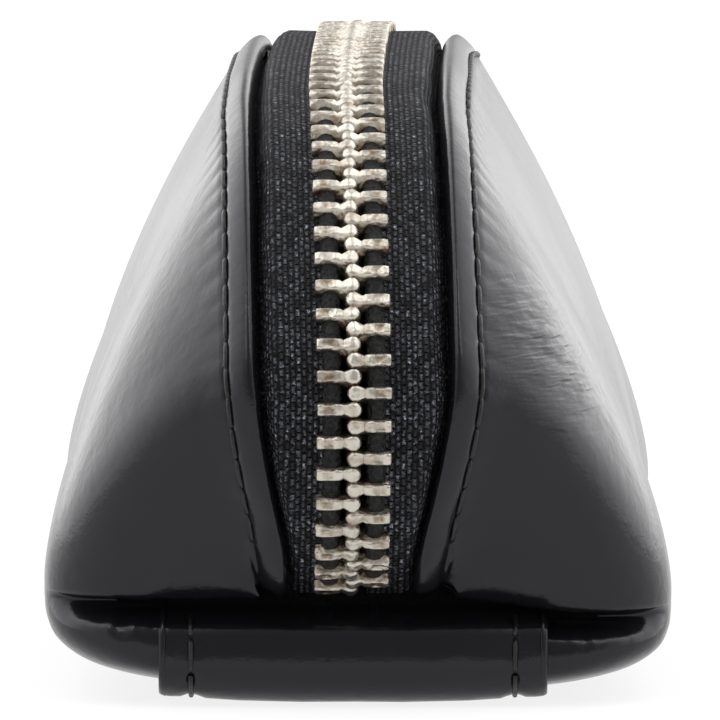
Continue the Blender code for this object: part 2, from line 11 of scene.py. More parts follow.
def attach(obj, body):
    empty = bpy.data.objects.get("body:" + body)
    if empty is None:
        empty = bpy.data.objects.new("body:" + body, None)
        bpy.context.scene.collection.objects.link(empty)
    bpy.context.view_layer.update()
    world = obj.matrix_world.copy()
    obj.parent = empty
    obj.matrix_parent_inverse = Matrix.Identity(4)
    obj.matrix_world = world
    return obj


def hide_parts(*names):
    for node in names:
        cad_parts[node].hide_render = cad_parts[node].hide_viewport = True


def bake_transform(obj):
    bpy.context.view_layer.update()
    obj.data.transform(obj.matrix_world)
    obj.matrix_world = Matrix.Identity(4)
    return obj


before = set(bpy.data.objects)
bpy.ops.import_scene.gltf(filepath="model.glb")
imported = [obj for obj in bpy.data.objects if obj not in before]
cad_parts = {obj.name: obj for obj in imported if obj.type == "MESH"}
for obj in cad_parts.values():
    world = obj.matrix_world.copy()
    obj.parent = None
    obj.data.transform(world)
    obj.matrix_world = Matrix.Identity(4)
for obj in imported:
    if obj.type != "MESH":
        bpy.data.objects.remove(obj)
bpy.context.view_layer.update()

bl_info = {
    "name": "Coin Purse",
    "version": (1, 0, 0),
    "blender": (4, 5, 0),
    "location": "View3D > Sidebar > Purse",
    "description": "Dresses the solids of a boxed zip coin purse in leather, tape, thread and metal",
    "category": "Object",
}

MM = 0.001
RAD = math.pi / 180.0

# Outline of the purse in millimetres: the same values as the solids.
HALF_LENGTH = 60.0
HEIGHT = 49.4
SEAM_Z = 8.5
SEAM_HALF_WIDTH = 24.9
SIDE_WAIST = 0.9
CORNER_RADIUS = 7.5
CROWN_TURN = 1.8
BROW_RADIUS = 97.0
SHOULDER_TURN = 12.5
SHOULDER_RADIUS = 37.7
NOSE_TURN = 57.5
NOSE_RADIUS = 10.9
LOW_BULGE = 1.114
SLOT_HALF_WIDTH = 7.7
SLOT_END_HALF_WIDTH = 5.0
SLOT_TAPER = 24.0
PANEL_SINK = 2.0
PANEL_FULLNESS = 0.38
TOOTH_PITCH = 2.667
TOOTH_THICKNESS = 2.2
FIRST_TOOTH = 0.9
ROW_SPREAD = 1.9
ROW_END_SPREAD = 0.5
SLIDER_TURN = 49.5
SLIDER_LENGTH = 9.5
STOP_GAP = 4.6
STOP_LENGTH = 1.9
STRIP_FLAT = 9.0

# Points inside the purse and far below it, in mm, to tell which way is out.
INSIDE = (0.0, 0.0, 18.0)
BELOW = (0.0, 0.0, -100.0)

# End seam: where it starts beside the zip, and how far it hangs at the near right corner.
SEAM_START = SLOT_END_HALF_WIDTH + 2.2
RIGHT_SAG = 1.15

# Groove below that seam: its depth, how far down it keeps it, and the height of its slope.
GROOVE_DEPTH = 3.0
GROOVE_SHELF = 0.6
GROOVE_SLOPE = 2.0


def arc_run(radius, start, end):
    """How far an arc goes outward between two turns."""
    return radius * (math.sin(end * RAD) - math.sin(start * RAD))


def arc_drop(radius, start, end):
    """How far an arc goes down between two turns."""
    return radius * (math.cos(start * RAD) - math.cos(end * RAD))


SIDE_ARCS = [
    (BROW_RADIUS, CROWN_TURN, SHOULDER_TURN),
    (SHOULDER_RADIUS, SHOULDER_TURN, NOSE_TURN),
    (NOSE_RADIUS, NOSE_TURN, 90.0),
]
CROWN_RUN = HALF_LENGTH - sum(arc_run(*arc) for arc in SIDE_ARCS)
CROWN_ARC = (CROWN_RUN / math.sin(CROWN_TURN * RAD), 0.0, CROWN_TURN)
NOSE_Z = HEIGHT - sum(arc_drop(*arc) for arc in [CROWN_ARC] + SIDE_ARCS)
SEAM_TURN = 90.0 + math.degrees(math.asin(1.0 / LOW_BULGE))
LOW_ARC = (LOW_BULGE * (NOSE_Z - SEAM_Z), 90.0, SEAM_TURN)


def chain_arcs():
    """Each arc with the length, y and z at which it starts, and the length of all of them."""
    length, y, z = 0.0, 0.0, HEIGHT
    chain = []
    for arc in [CROWN_ARC] + SIDE_ARCS + [LOW_ARC]:
        chain.append((length, y, z, arc))
        length += arc[0] * (arc[2] - arc[1]) * RAD
        y += arc_run(*arc)
        z -= arc_drop(*arc)
    return chain, length, y


ARCS, HALF_ARC, SEAM_Y = chain_arcs()
SLIDER_S = ARCS[2][0] + SHOULDER_RADIUS * (SLIDER_TURN - SHOULDER_TURN) * RAD
STOP_S = SLIDER_S + 0.5 * SLIDER_LENGTH + STOP_GAP

# Underside, from the seam down: inset from the seam's width, reach past its end, share of its height.
BOWL_STEPS = [
    (0.0, 0.1, 0.935),
    (0.2, 0.8, 0.74),
    (1.0, 1.2, 0.54),
    (3.0, 1.0, 0.36),
    (6.0, 0.2, 0.235),
    (9.4, -0.8, 0.16),
]
BOWL = [(SEAM_HALF_WIDTH - inset, SEAM_Y + reach, SEAM_Z * share) for inset, reach, share in BOWL_STEPS]
FLOOR_Z = BOWL[-1][2]


def smooth(x):
    """Ease from 0 at 0 to 1 at 1, level outside."""
    x = max(0.0, min(1.0, x))
    return x * x * (3.0 - 2.0 * x)


def between(x, table):
    """Value at x in a table of (x, value) pairs, straight between them."""
    return float(np.interp(x, [a for a, b in table], [b for a, b in table]))


def arch(s):
    """Point and turn of the zip's outer face, s mm along it from the top centre."""
    a = abs(s)
    length, y0, z0, (radius, start, end) = [arc for arc in ARCS if a >= arc[0]][-1]
    b0 = start * RAD
    b = b0 + (a - length) / radius
    y = y0 + radius * (math.sin(b) - math.sin(b0))
    z = z0 - radius * (math.cos(b0) - math.cos(b))
    return math.copysign(y, s), z, math.copysign(b, s)


def drift(s):
    """How far the hand-sewn zip wanders sideways."""
    table = [(-90, -0.5), (-70, -0.2), (-50, -0.6), (-30, -0.95), (0, -0.5), (14, -0.3), (24, 0.3), (42, 0.0)]
    return between(s, table)


def on_arch(s, x, n):
    """Point x mm across the zip and n mm out from its outer face."""
    y, z, b = arch(s)
    return np.array((x + drift(s), y + n * math.sin(b), z + n * math.cos(b)))


def near_end(s, reach):
    """0 along the zip, easing to 1 over a reach before either end."""
    return smooth((abs(s) - (HALF_ARC - reach)) / reach)


def slot(s):
    """Half the width between the two leather edges."""
    return SLOT_HALF_WIDTH + (SLOT_END_HALF_WIDTH - SLOT_HALF_WIDTH) * near_end(s, SLOT_TAPER)


def slope(s):
    """How steeply the turned edge leaves the zip, in radians."""
    table = [(12, 32), (40, 28), (57, 25), (90, 18), (120, 12), (SEAM_TURN, 8)]
    return between(abs(math.degrees(arch(s)[2])), table) * RAD


def fall(s):
    """How steeply the leather goes on from the stitched foot of the turned edge."""
    table = [(12, 58), (40, 46), (57, 38), (90, 26), (120, 17), (SEAM_TURN, 10)]
    return between(abs(math.degrees(arch(s)[2])), table) * RAD


def spread(s):
    """How far a row of teeth stands off the middle, inside the slider and past it."""
    t = s - SLIDER_S
    if t < 0.5 * SLIDER_LENGTH:
        return ROW_SPREAD * smooth((t + 1.5) / 5.0)
    narrow = smooth((s - STOP_S - STOP_LENGTH) / 6.0)
    return ROW_SPREAD + (ROW_END_SPREAD - ROW_SPREAD) * narrow


def sink(s):
    """How deep the leather's edge lies below the faces of the teeth: less on top and at the seam."""
    high = 1.0 - smooth((abs(s) - 20.0) / 20.0)
    return PANEL_SINK - 0.5 * high - (PANEL_SINK - 0.3) * near_end(s, 9.0)


def panel_frame(s, side, steep):
    """Start of the leather at the zip, with its outward-sloping and standing directions."""
    b = arch(s)[2]
    start = on_arch(s, side * slot(s), -sink(s))
    along = np.array((side * math.cos(steep), -math.sin(steep) * math.sin(b), -math.sin(steep) * math.cos(b)))
    stand = np.array((side * math.sin(steep), math.cos(steep) * math.sin(b), math.cos(steep) * math.cos(b)))
    return start, along, stand


def outline_point(t, half_x, half_y, radius, x0):
    """Point and outward direction at share t along half a rounded rectangle with a slight waist."""
    end = half_x - radius - x0
    arc = 0.5 * math.pi * radius
    straight = half_y - radius
    run = (1.0 - abs(2.0 * t - 1.0)) * (end + arc + straight)
    far = -1.0 if t < 0.5 else 1.0
    if run < end:
        return x0 + run, far * half_y, 0.0, far
    if run < end + arc:
        a = (run - end) / radius
        x = half_x - radius + radius * math.sin(a)
        return x, far * (half_y - radius + radius * math.cos(a)), math.sin(a), far * math.cos(a)
    along = 1.0 - (run - end - arc) / straight
    waist = SIDE_WAIST * (1.0 - along * along) ** 2
    return half_x - waist, far * straight * along, 1.0, 0.0


def groove(z, deep):
    """How far the leather below an end seam is drawn in, at a height."""
    return GROOVE_DEPTH * deep * (1.0 - smooth((SEAM_Z - z - GROOVE_SHELF) / GROOVE_SLOPE))


def corner_share(t):
    """How far along the seam a line meets it: 0 beside the zip, 1 past the corner, more along the side."""
    corner = SEAM_HALF_WIDTH - CORNER_RADIUS - SEAM_START + 0.5 * math.pi * CORNER_RADIUS
    return (1.0 - abs(2.0 * t - 1.0)) * (corner + SEAM_Y - CORNER_RADIUS) / corner


def sag(t, side):
    """How far the hand-sewn seam hangs below its line, at the near right corner only."""
    if t > 0.5 or side < 0:
        return 0.0
    u = corner_share(t)
    return RIGHT_SAG * smooth((u - 0.05) / 0.4) * smooth((2.4 - u) / 1.2)


def edge_scale(s):
    """Share of the turned edge's width that is left where it runs into the seam."""
    return 1.0 - 0.1 * near_end(s, 6.0)


class PurseSizes(bpy.types.PropertyGroup):
    """Sizes that a maker would change."""

    ridge_width: FloatProperty(
        name="Turned Edge", description="Width of the turned leather edge", default=2.5 * MM, unit="LENGTH"
    )
    leather: FloatProperty(
        name="Leather", description="Thickness of the leather", default=0.8 * MM, unit="LENGTH"
    )
    stitch: FloatProperty(
        name="Stitch", description="Length of one stitch with its gap", default=3.0 * MM, unit="LENGTH"
    )
    thread: FloatProperty(
        name="Thread", description="Thickness of the sewing thread", default=0.42 * MM, unit="LENGTH"
    )
    wrinkle: FloatProperty(
        name="Wrinkles", description="Depth of the leather's creases", default=0.3 * MM, unit="LENGTH"
    )
    seed: IntProperty(name="Seed", description="Seed of the creases", default=7)


class PurseColours(bpy.types.PropertyGroup):
    """Colours of the finishes."""

    leather: FloatVectorProperty(
        name="Leather", description="Smooth black leather", subtype="COLOR", default=(0.0050, 0.0050, 0.0062)
    )
    tape: FloatVectorProperty(
        name="Tape", description="Woven zip tape", subtype="COLOR", default=(0.029, 0.030, 0.035)
    )
    nickel: FloatVectorProperty(
        name="Nickel", description="Worn nickel teeth", subtype="COLOR", default=(0.62, 0.58, 0.51)
    )
    # Patina is also the brown of the painted shade on the tooth walls.
    patina: FloatVectorProperty(
        name="Patina", description="Brown tarnish on the teeth", subtype="COLOR", default=(0.22, 0.15, 0.09)
    )
    lining: FloatVectorProperty(
        name="Lining", description="Plain cloth inside", subtype="COLOR", default=(0.03, 0.03, 0.032)
    )


def size_mm(name):
    """One of the sizes above, in millimetres."""
    return round(getattr(bpy.context.scene.purse_sizes, name) / MM, 4)


def base_seed():
    """Seed that every random draw starts from."""
    return bpy.context.scene.purse_sizes.seed


def colour(name):
    """One of the colours above."""
    return Vector(getattr(bpy.context.scene.purse_colours, name))


def new_material(name):
    """Material with its node tree and its shader."""
    material = bpy.data.materials.new(name)
    material.use_nodes = True
    return material, material.node_tree, material.node_tree.nodes["Principled BSDF"]


def feed(tree, node, inputs):
    """Link a node's inputs to other sockets, or set them to plain values."""
    for name, value in inputs.items():
        if isinstance(value, bpy.types.NodeSocket):
            tree.links.new(value, node.inputs[name])
        else:
            node.inputs[name].default_value = value
    return node


def add_node(tree, kind, inputs, **settings):
    """New node with its settings and its inputs."""
    node = tree.nodes.new(kind)
    for name, value in settings.items():
        setattr(node, name, value)
    return feed(tree, node, inputs)


def coordinates(tree, kind):
    """Texture coordinates of one kind."""
    return tree.nodes.new("ShaderNodeTexCoord").outputs[kind]


def add_bump(tree, shader, height, strength, depth, below=None):
    """Give a shader relief with a depth in millimetres, on top of the relief below it."""
    inputs = {"Strength": strength, "Distance": depth * MM, "Height": height}
    if below is not None:
        inputs["Normal"] = below
    normal = add_node(tree, "ShaderNodeBump", inputs).outputs["Normal"]
    feed(tree, shader, {"Normal": normal})
    return normal


def noise_node(tree, coords, scale, detail=3.0, roughness=0.55):
    """Cloudy noise at some coordinates."""
    inputs = {"Vector": coords, "Scale": scale, "Detail": detail, "Roughness": roughness}
    return add_node(tree, "ShaderNodeTexNoise", inputs).outputs["Fac"]


def math_node(tree, operation, *values):
    """Result of a calculation with sockets and numbers."""
    inputs = dict(enumerate(values))
    return add_node(tree, "ShaderNodeMath", inputs, operation=operation).outputs["Value"]


def range_node(tree, value, low, high, start=0.0, end=1.0):
    """Value that runs from low to high while another runs from start to end."""
    inputs = {"Value": value, "From Min": start, "From Max": end, "To Min": low, "To Max": high}
    return add_node(tree, "ShaderNodeMapRange", inputs).outputs["Result"]


def ramp_node(tree, value, stops):
    """Colour that a value picks from stops, each with its place and its colour."""
    ramp = add_node(tree, "ShaderNodeValToRGB", {"Fac": value})
    elements = ramp.color_ramp.elements
    while len(elements) < len(stops):
        elements.new(0.5)
    for element, (place, shade) in zip(elements, stops):
        element.position = place
        element.color = (*shade, 1.0)
    return ramp.outputs["Color"]


# Middle and reach of the fine creases on the right shoulder.
CREASE_PLACE = (16.0, -50.0, 28.5)
CREASE_REACH = 9.0


def leather_material():
    """Smooth black leather with a gloss, a fine grain and creases on the right shoulder."""
    material, tree, shader = new_material("black_leather")
    dark = colour("leather")
    coords = coordinates(tree, "Object")
    cloud = noise_node(tree, coords, 90.0)
    feed(tree, shader, {
        "Base Color": ramp_node(tree, cloud, [(0.3, dark * 0.85), (0.7, dark * 1.2)]),
        "Roughness": range_node(tree, cloud, 0.16, 0.25),
        "Specular IOR Level": 0.34,
        "Specular Tint": (0.93, 0.92, 1.0, 1.0),
    })
    grain = {"Vector": coords, "Scale": 2600.0}
    grain = add_node(tree, "ShaderNodeTexVoronoi", grain, feature="DISTANCE_TO_EDGE")
    normal = add_bump(tree, shader, grain.outputs["Distance"], 0.16, 0.05)
    normal = add_bump(tree, shader, noise_node(tree, coords, 900.0, 4.0), 0.3, 0.1, normal)
    normal = add_bump(tree, shader, noise_node(tree, coords, 330.0, 5.0, 0.6), 0.22, 0.4, normal)
    lay = {"Vector": coords, "Rotation": (0.0, 0.6, 0.0), "Scale": (260.0, 120.0, 1300.0)}
    lay = add_node(tree, "ShaderNodeMapping", lay)
    crease = noise_node(tree, lay.outputs["Vector"], 1.0, 2.0)
    away = {0: coords, 1: [c * MM for c in CREASE_PLACE]}
    away = add_node(tree, "ShaderNodeVectorMath", away, operation="DISTANCE").outputs["Value"]
    fade = range_node(tree, away, 1.0, 0.0, 0.2 * CREASE_REACH * MM, CREASE_REACH * MM)
    add_bump(tree, shader, math_node(tree, "MULTIPLY", crease, fade), 1.0, 0.7, normal)
    return material


def tape_material():
    """Charcoal woven tape: short yarn floats laid like bricks along the tape, with painted glints: bright
    dots raised in its colour.
    """
    material, tree, shader = new_material("woven_tape")
    dark = colour("tape")
    coords = coordinates(tree, "UV")
    fuzz_and_glints = noise_node(tree, coords, 2.8, 5.0, 0.7)
    warp = {"Fac": 0.36, "Color1": coords, "Color2": fuzz_and_glints.node.outputs["Color"]}
    warp = add_node(tree, "ShaderNodeMixRGB", warp, blend_type="ADD")
    weave = add_node(tree, "ShaderNodeTexBrick", {
        "Vector": warp.outputs["Color"],
        "Scale": 1.0,
        "Brick Width": 0.72,
        "Row Height": 0.44,
        "Mortar Size": 0.14,
        "Mortar Smooth": 1.0,
        "Color1": (*(dark * 2.8), 1.0),
        "Color2": (*(dark * 0.4), 1.0),
        "Mortar": (*(dark * 0.04), 1.0),
    })
    # Painted glints: the colour is raised up to six times at the noise's peaks, standing in for light
    # catching the yarn.
    stops = [(0.40, (0.3,) * 3), (0.56, (1.1,) * 3), (0.67, (6.0,) * 3)]
    painted_glints = ramp_node(tree, fuzz_and_glints, stops)
    mix = {"Factor": 1.0, "A": weave.outputs["Color"], "B": painted_glints}
    mix = add_node(tree, "ShaderNodeMix", mix, data_type="RGBA", blend_type="MULTIPLY")
    feed(tree, shader, {"Base Color": mix.outputs["Result"], "Roughness": 0.6, "Specular IOR Level": 0.15})
    lumps = add_bump(tree, shader, weave.outputs["Fac"], 1.0, -0.9)
    add_bump(tree, shader, fuzz_and_glints, 0.8, 0.4, lumps)
    return material


def nickel_material(name, worn_and_shaded):
    """Nickel plate with fine scratches and brown tarnish; on the teeth the brown also darkens the lower tooth
    walls as painted shade.
    """
    material, tree, shader = new_material(name)
    coords = coordinates(tree, "Object")
    bright = colour("nickel")
    brown = colour("patina")
    stain = noise_node(tree, coords, 620.0, 6.0, 0.65)
    rough = (0.24, 0.46)
    tarnish_and_shade = stain
    if worn_and_shaded:
        rough = (0.28, 0.5)
        # On the teeth this attribute adds the dimple's patina and painted shade on the lower tooth walls.
        dimple = add_node(tree, "ShaderNodeAttribute", {}, attribute_name="stain")
        tarnish_and_shade = math_node(tree, "MULTIPLY_ADD", dimple.outputs["Fac"], 0.17, stain)
    stops = [(0.0, bright), (0.5, bright * 0.93), (0.62, brown.lerp(bright, 0.55)), (0.78, brown)]
    feed(tree, shader, {
        "Base Color": ramp_node(tree, tarnish_and_shade, stops),
        "Metallic": 1.0,
        "Roughness": range_node(tree, stain, *rough),
    })
    pits = add_bump(tree, shader, noise_node(tree, coords, 1500.0), 0.3, 0.08)
    if worn_and_shaded:
        add_bump(tree, shader, noise_node(tree, coords, 800.0, 2.0), 0.7, 0.5, pits)
    return material


def thread_material(name, tone, rough, gloss, relief):
    """Twisted black thread or cord."""
    material, tree, shader = new_material(name)
    twist = noise_node(tree, coordinates(tree, "Object"), 2400.0, 2.0)
    tint = ramp_node(tree, twist, [(0.36, (tone * 0.35,) * 3), (0.64, (tone * 2.0,) * 3)])
    feed(tree, shader, {"Base Color": tint, "Roughness": rough, "Specular IOR Level": gloss})
    add_bump(tree, shader, twist, 0.8, relief)
    return material


def lining_material():
    """Plain woven lining."""
    material, tree, shader = new_material("lining_cloth")
    dark = colour("lining")
    weave = {"Vector": coordinates(tree, "Object"), "Scale": 900.0, "Distortion": 1.5}
    weave = add_node(tree, "ShaderNodeTexWave", weave, wave_type="BANDS", bands_direction="DIAGONAL")
    tint = ramp_node(tree, weave.outputs["Fac"], [(0.2, dark * 0.7), (0.8, dark * 1.4)])
    feed(tree, shader, {"Base Color": tint, "Roughness": 0.7, "Sheen Weight": 0.2})
    add_bump(tree, shader, weave.outputs["Fac"], 0.5, 0.1)
    return material


MATERIALS = {}


def finish_named(name):
    """A finish, made the first time it is asked for."""
    if name not in MATERIALS:
        makers = {
            "leather": leather_material,
            "tape": tape_material,
            "teeth": lambda: nickel_material("worn_nickel_with_painted_shade", True),
            "hardware": lambda: nickel_material("nickel_plate", False),
            "thread": lambda: thread_material("sewing_thread", 0.004, 0.4, 0.4, 0.1),
            "cord": lambda: thread_material("bead_cord", 0.006, 0.5, 0.2, 0.5),
            # Near-black binding: painted shade where the seam binding shows in the groove below the seam.
            "binding": lambda: thread_material("seam_binding", 0.002, 0.9, 0.05, 0.1),
            "lining": lining_material,
        }
        MATERIALS[name] = makers[name]()
    return MATERIALS[name]


def add_object(name, data):
    """New object in the scene."""
    obj = bpy.data.objects.new(name, data)
    bpy.context.scene.collection.objects.link(obj)
    return obj


def grid_mesh(name, points, uv=None):
    """Sheet of quads through a grid of points in mm, with an optional UV grid."""
    rows, cols = points.shape[:2]
    verts = (points.reshape(-1, 3) * MM).tolist()
    faces = []
    for i in range(rows - 1):
        for j in range(cols - 1):
            a = i * cols + j
            faces.append((a, a + 1, a + cols + 1, a + cols))
    mesh = bpy.data.meshes.new(name)
    mesh.from_pydata(verts, [], faces)
    if uv is not None:
        layer = mesh.uv_layers.new(name="weave")
        flat = uv.reshape(-1, 2)
        for loop in mesh.loops:
            layer.data[loop.index].uv = flat[loop.vertex_index]
    mesh.shade_smooth()
    return add_object(name, mesh)


def grid_normals(points):
    """Unit directions out of the purse, at each point of a grid."""
    du = np.gradient(points, axis=0)
    dv = np.gradient(points, axis=1)
    n = np.cross(du, dv)
    n /= np.maximum(np.linalg.norm(n, axis=2, keepdims=True), 1e-9)
    if np.sum(n * (points - np.array(INSIDE))) < 0.0:
        n = -n
    return n


def final_mesh(obj):
    """Mesh of an object as its curve or its modifiers make it."""
    graph = bpy.context.evaluated_depsgraph_get()
    return bpy.data.meshes.new_from_object(obj.evaluated_get(graph))


def plain_mesh(obj):
    """Apply an object's modifiers, so that it holds only its mesh."""
    mesh = final_mesh(obj)
    obj.modifiers.clear()
    obj.data = mesh


def thicken(obj, thickness, inside=INSIDE):
    """Give a sheet its thickness, on the side of a point inside, with its faces looking out."""
    mesh = obj.data
    total = 0.0
    for poly in mesh.polygons:
        total += poly.normal.dot(poly.center - Vector(inside) * MM) * poly.area
    if total < 0.0:
        mesh.flip_normals()
    mod = obj.modifiers.new("thickness", "SOLIDIFY")
    mod.thickness = thickness * MM
    mod.offset = -1.0
    plain_mesh(obj)


def run_lengths(line):
    """Length along a line of points, up to each of them."""
    return np.concatenate([[0.0], np.cumsum(np.linalg.norm(np.diff(line, axis=0), axis=1))])


def at_lengths(where, run, line):
    """Points at given lengths along a line."""
    return np.stack([np.interp(where, run, column) for column in line.T], axis=-1)


def paint(obj, finish):
    """Give a piece one finish and no other."""
    obj.data.materials.clear()
    obj.data.materials.append(finish_named(finish))


def dress(obj, finish, nodes=()):
    """Give a piece its finish, and hide the nodes it stands for."""
    paint(obj, finish)
    if nodes:
        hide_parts(*nodes)


def sheet_piece(name, points, thickness, finish, nodes, uv=None, inside=INSIDE):
    """Piece cut from a sheet, painted with a finish, in place of some nodes."""
    obj = grid_mesh(name, points, uv)
    thicken(obj, thickness, inside)
    dress(obj, finish, nodes)
    return obj


SIDES = (("left", -1.0), ("right", 1.0))


def follow(obj):
    """Bake a piece's placement into its mesh."""
    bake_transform(obj)


# Turned edge, as (out from the zip, up from the tape), drawn at this width.
RIDGE_DRAWN_WIDTH = 2.5
RIDGE_SECTION = [
    (0.10, -0.9), (0.0, -0.5), (-0.04, -0.1), (0.0, 0.2), (0.08, 0.42), (0.25, 0.58), (0.5, 0.64),
    (0.9, 0.61), (1.3, 0.53), (1.7, 0.42), (2.0, 0.29), (2.2, 0.13), (2.3, -0.02), (2.40, -0.14),
]

# Lip of leather turned in below the seam, as (inset, drop).
LIP_SECTION = [(0.3, 0.2), (1.0, 0.34), (1.9, 0.42)]

# Leather side: lines along it, points down its edge, panel and underside, share left off each end.
LEATHER_LINES = 360
RIDGE_ROWS = len(RIDGE_SECTION)
PANEL_ROWS = 41
BOWL_ROWS = 30
LEATHER_TRIM = 0.004

# Degrees that the panel leans out above the seam: beside the zip, at the corners, less along the sides.
ZIP_TUCK = 58.0
CORNER_TUCK = 3.0
SIDE_FLARE = 9.0

# Share of the panel's fullness that the corners take away.
CORNER_PINCH = 0.45

# Depth of the dents at stitches, and of the puckers along the near seam and at its corners.
STITCH_DENT = 0.13
SEAM_PUCKER = 0.1
CORNER_PUCKER = 0.3


def bowl_levels(count):
    """Half widths, half lengths and heights of the underside, from the seam down."""
    last = len(BOWL) - 1
    out = []
    for value in np.linspace(0.0, last, count):
        i = min(int(value), last - 1)
        f = value - i
        p0, p1, p2, p3 = np.array([BOWL[min(max(k, 0), last)] for k in range(i - 1, i + 3)])
        square = 2 * p0 - 5 * p1 + 4 * p2 - p3
        cube = 3 * p1 - p0 - 3 * p2 + p3
        out.append(0.5 * (2 * p1 + (p2 - p0) * f + square * f * f + cube * f**3))
    return out


def side_line(t, side):
    """One line of the leather: turned edge, panel, seam groove and the part turned under."""
    s = HALF_ARC * (2.0 * t - 1.0)
    x, y, out_x, out_y = outline_point(t, SEAM_HALF_WIDTH, SEAM_Y, CORNER_RADIUS, SEAM_START)
    low = sag(t, side)
    end = np.array((side * x, y, SEAM_Z - low))
    edge, lean, stand = panel_frame(s, side, slope(s))
    along = panel_frame(s, side, fall(s))[1]
    k = edge_scale(s)
    ridge = size_mm("ridge_width")
    line = []
    for a, h in RIDGE_SECTION:
        rise = h * k if h > 0 else h * max(k, 0.5)
        line.append(edge + lean * (a * k * ridge / RIDGE_DRAWN_WIDTH) + stand * rise)
    start = edge + lean * (k * ridge)
    width = np.linalg.norm(end - start)
    u = corner_share(t)
    tuck = CORNER_TUCK + (ZIP_TUCK - CORNER_TUCK) * (1.0 - smooth(u / 0.95))
    tuck = (tuck - SIDE_FLARE * smooth(u - 1.1)) * RAD
    hold = PANEL_FULLNESS * (1.0 - CORNER_PINCH * smooth(u / 0.9) * smooth((2.8 - u) / 1.4))
    out = np.array((side * out_x, out_y, 0.0))
    arrive = -out * math.sin(tuck) + np.array((0.0, 0.0, -math.cos(tuck)))
    p1 = start + along * (PANEL_FULLNESS * width)
    p2 = end - arrive * (hold * width)
    for q in np.linspace(0.0, 1.0, PANEL_ROWS):
        r = 1.0 - q
        line.append(r ** 3 * start + 3 * r * r * q * p1 + 3 * r * q * q * p2 + q ** 3 * end)
    deep = smooth((abs(out_y) - 0.5) / 0.4)
    for inset, drop in LIP_SECTION:
        line.append(end - out * (inset * deep) + np.array((0.0, 0.0, -drop * (0.3 + 0.7 * deep))))
    for half_x, half_y, z in bowl_levels(BOWL_ROWS):
        radius = min(CORNER_RADIUS, half_x - SEAM_START - 0.2)
        bx, by = outline_point(t, half_x, half_y, radius, SEAM_START)[:2]
        down = low * (0.4 + 0.8 * (z - FLOOR_Z) / (SEAM_Z - FLOOR_Z))
        line.append(np.array((side * bx, by, z - down)) - out * groove(z, deep))
    return line


def side_lines(side, count, trim):
    """All lines of a leather side, from end to end but for a share left off each end."""
    shares = [trim + (1.0 - 2.0 * trim) * i / count for i in range(count + 1)]
    return np.array([side_line(t, side) for t in shares])


def eased(points):
    """Even out the leather below its turned edge, along the purse."""
    reach = 14
    width = 5.0
    weights = np.exp(-0.5 * (np.arange(-reach, reach + 1) / width) ** 2)
    padded = np.pad(points, ((reach, reach), (0, 0), (0, 0)), mode="reflect", reflect_type="odd")
    even = sum(w * padded[i : i + len(points)] for i, w in enumerate(weights / weights.sum()))
    share = np.array([smooth((j - RIDGE_ROWS) / 4.0) for j in range(points.shape[1])])
    return points + (even - points) * share[None, :, None]


def soft_noise(p, size, seed):
    """Smooth noise at a point, with swells of a size, from a part of the noise that a seed picks."""
    place = (p[0] / size + seed * 13.7, p[1] / size - seed * 5.1, p[2] / size + seed * 3.3)
    return noise.noise(Vector(place))


def leather_relief(points, normals, side):
    """Creases, puckers at the seams and dents at the stitches."""
    rows, cols = points.shape[:2]
    depth = size_mm("wrinkle")
    seed = base_seed() + (3 if side > 0 else 0)
    stitch = size_mm("stitch")
    out = points.copy()
    for i in range(rows):
        t = i / (rows - 1)
        s = HALF_ARC * (2.0 * t - 1.0)
        out_y = outline_point(t, SEAM_HALF_WIDTH, SEAM_Y, CORNER_RADIUS, SEAM_START)[3]
        seam = smooth((-out_y - 0.75) / 0.2)
        tip = math.exp(-(((corner_share(t) - 0.52) / 0.13) ** 2)) if s < 0 else 0.0
        pulse = 0.5 + 0.5 * math.cos(2.0 * math.pi * s / stitch)
        for j in range(cols):
            p = points[i, j]
            lift = depth * 0.35 * soft_noise(p, 15.0, seed)
            if j >= RIDGE_ROWS:
                k = j - RIDGE_ROWS
                if k < PANEL_ROWS:
                    near_foot = math.exp(-(k / 2.0) ** 2)
                    lift -= STITCH_DENT * pulse**3 * near_foot
                    streak = soft_noise((s, k * 0.22, 0.0), 2.1, seed + 1)
                    lift += depth * 0.06 * streak * math.exp(-k / 7.0)
                close = abs(k - PANEL_ROWS - 1.5)
                fold = soft_noise((s * 2.3, 0.0, side), 1.25, seed + 4)
                lift += SEAM_PUCKER * fold * seam * math.exp(-(close / 4.0) ** 2)
                rim = abs(k - PANEL_ROWS - 8.5)
                lift += CORNER_PUCKER * fold * tip * math.exp(-(rim / 3.0) ** 2)
            out[i, j] = p + normals[i, j] * lift
    return out


class PURSE_OT_leather(bpy.types.Operator):
    """Make both leather sides, each one cut from the turned edge at the zip to under the base"""

    bl_idname = "purse.leather"
    bl_label = "Leather Sides"

    def execute(self, context):
        for word, side in SIDES:
            points = eased(side_lines(side, LEATHER_LINES, LEATHER_TRIM))
            points = leather_relief(points, grid_normals(points), side)
            nodes = (word + "_panel", word + "_flange")
            obj = sheet_piece(word + "_leather", points, size_mm("leather"), "leather", nodes)
            follow(obj)
        return {"FINISHED"}


# Strip: its shift to the left, steps of its side view, lines along it, depth of its section, thickness.
STRIP_SHIFT = -0.35
STRIP_STEPS = 64
STRIP_LINES = 300
STRIP_DEPTH = 1.0
STRIP_THICKNESS = 0.6

# How far from the strip's middle its stitches run, middle and depth of their dents, depth of its waves.
STRIP_STITCH_X = 12.75
STRIP_DENT_X = 12.7
STRIP_DENT = 0.22
STRIP_WAVE = 0.12


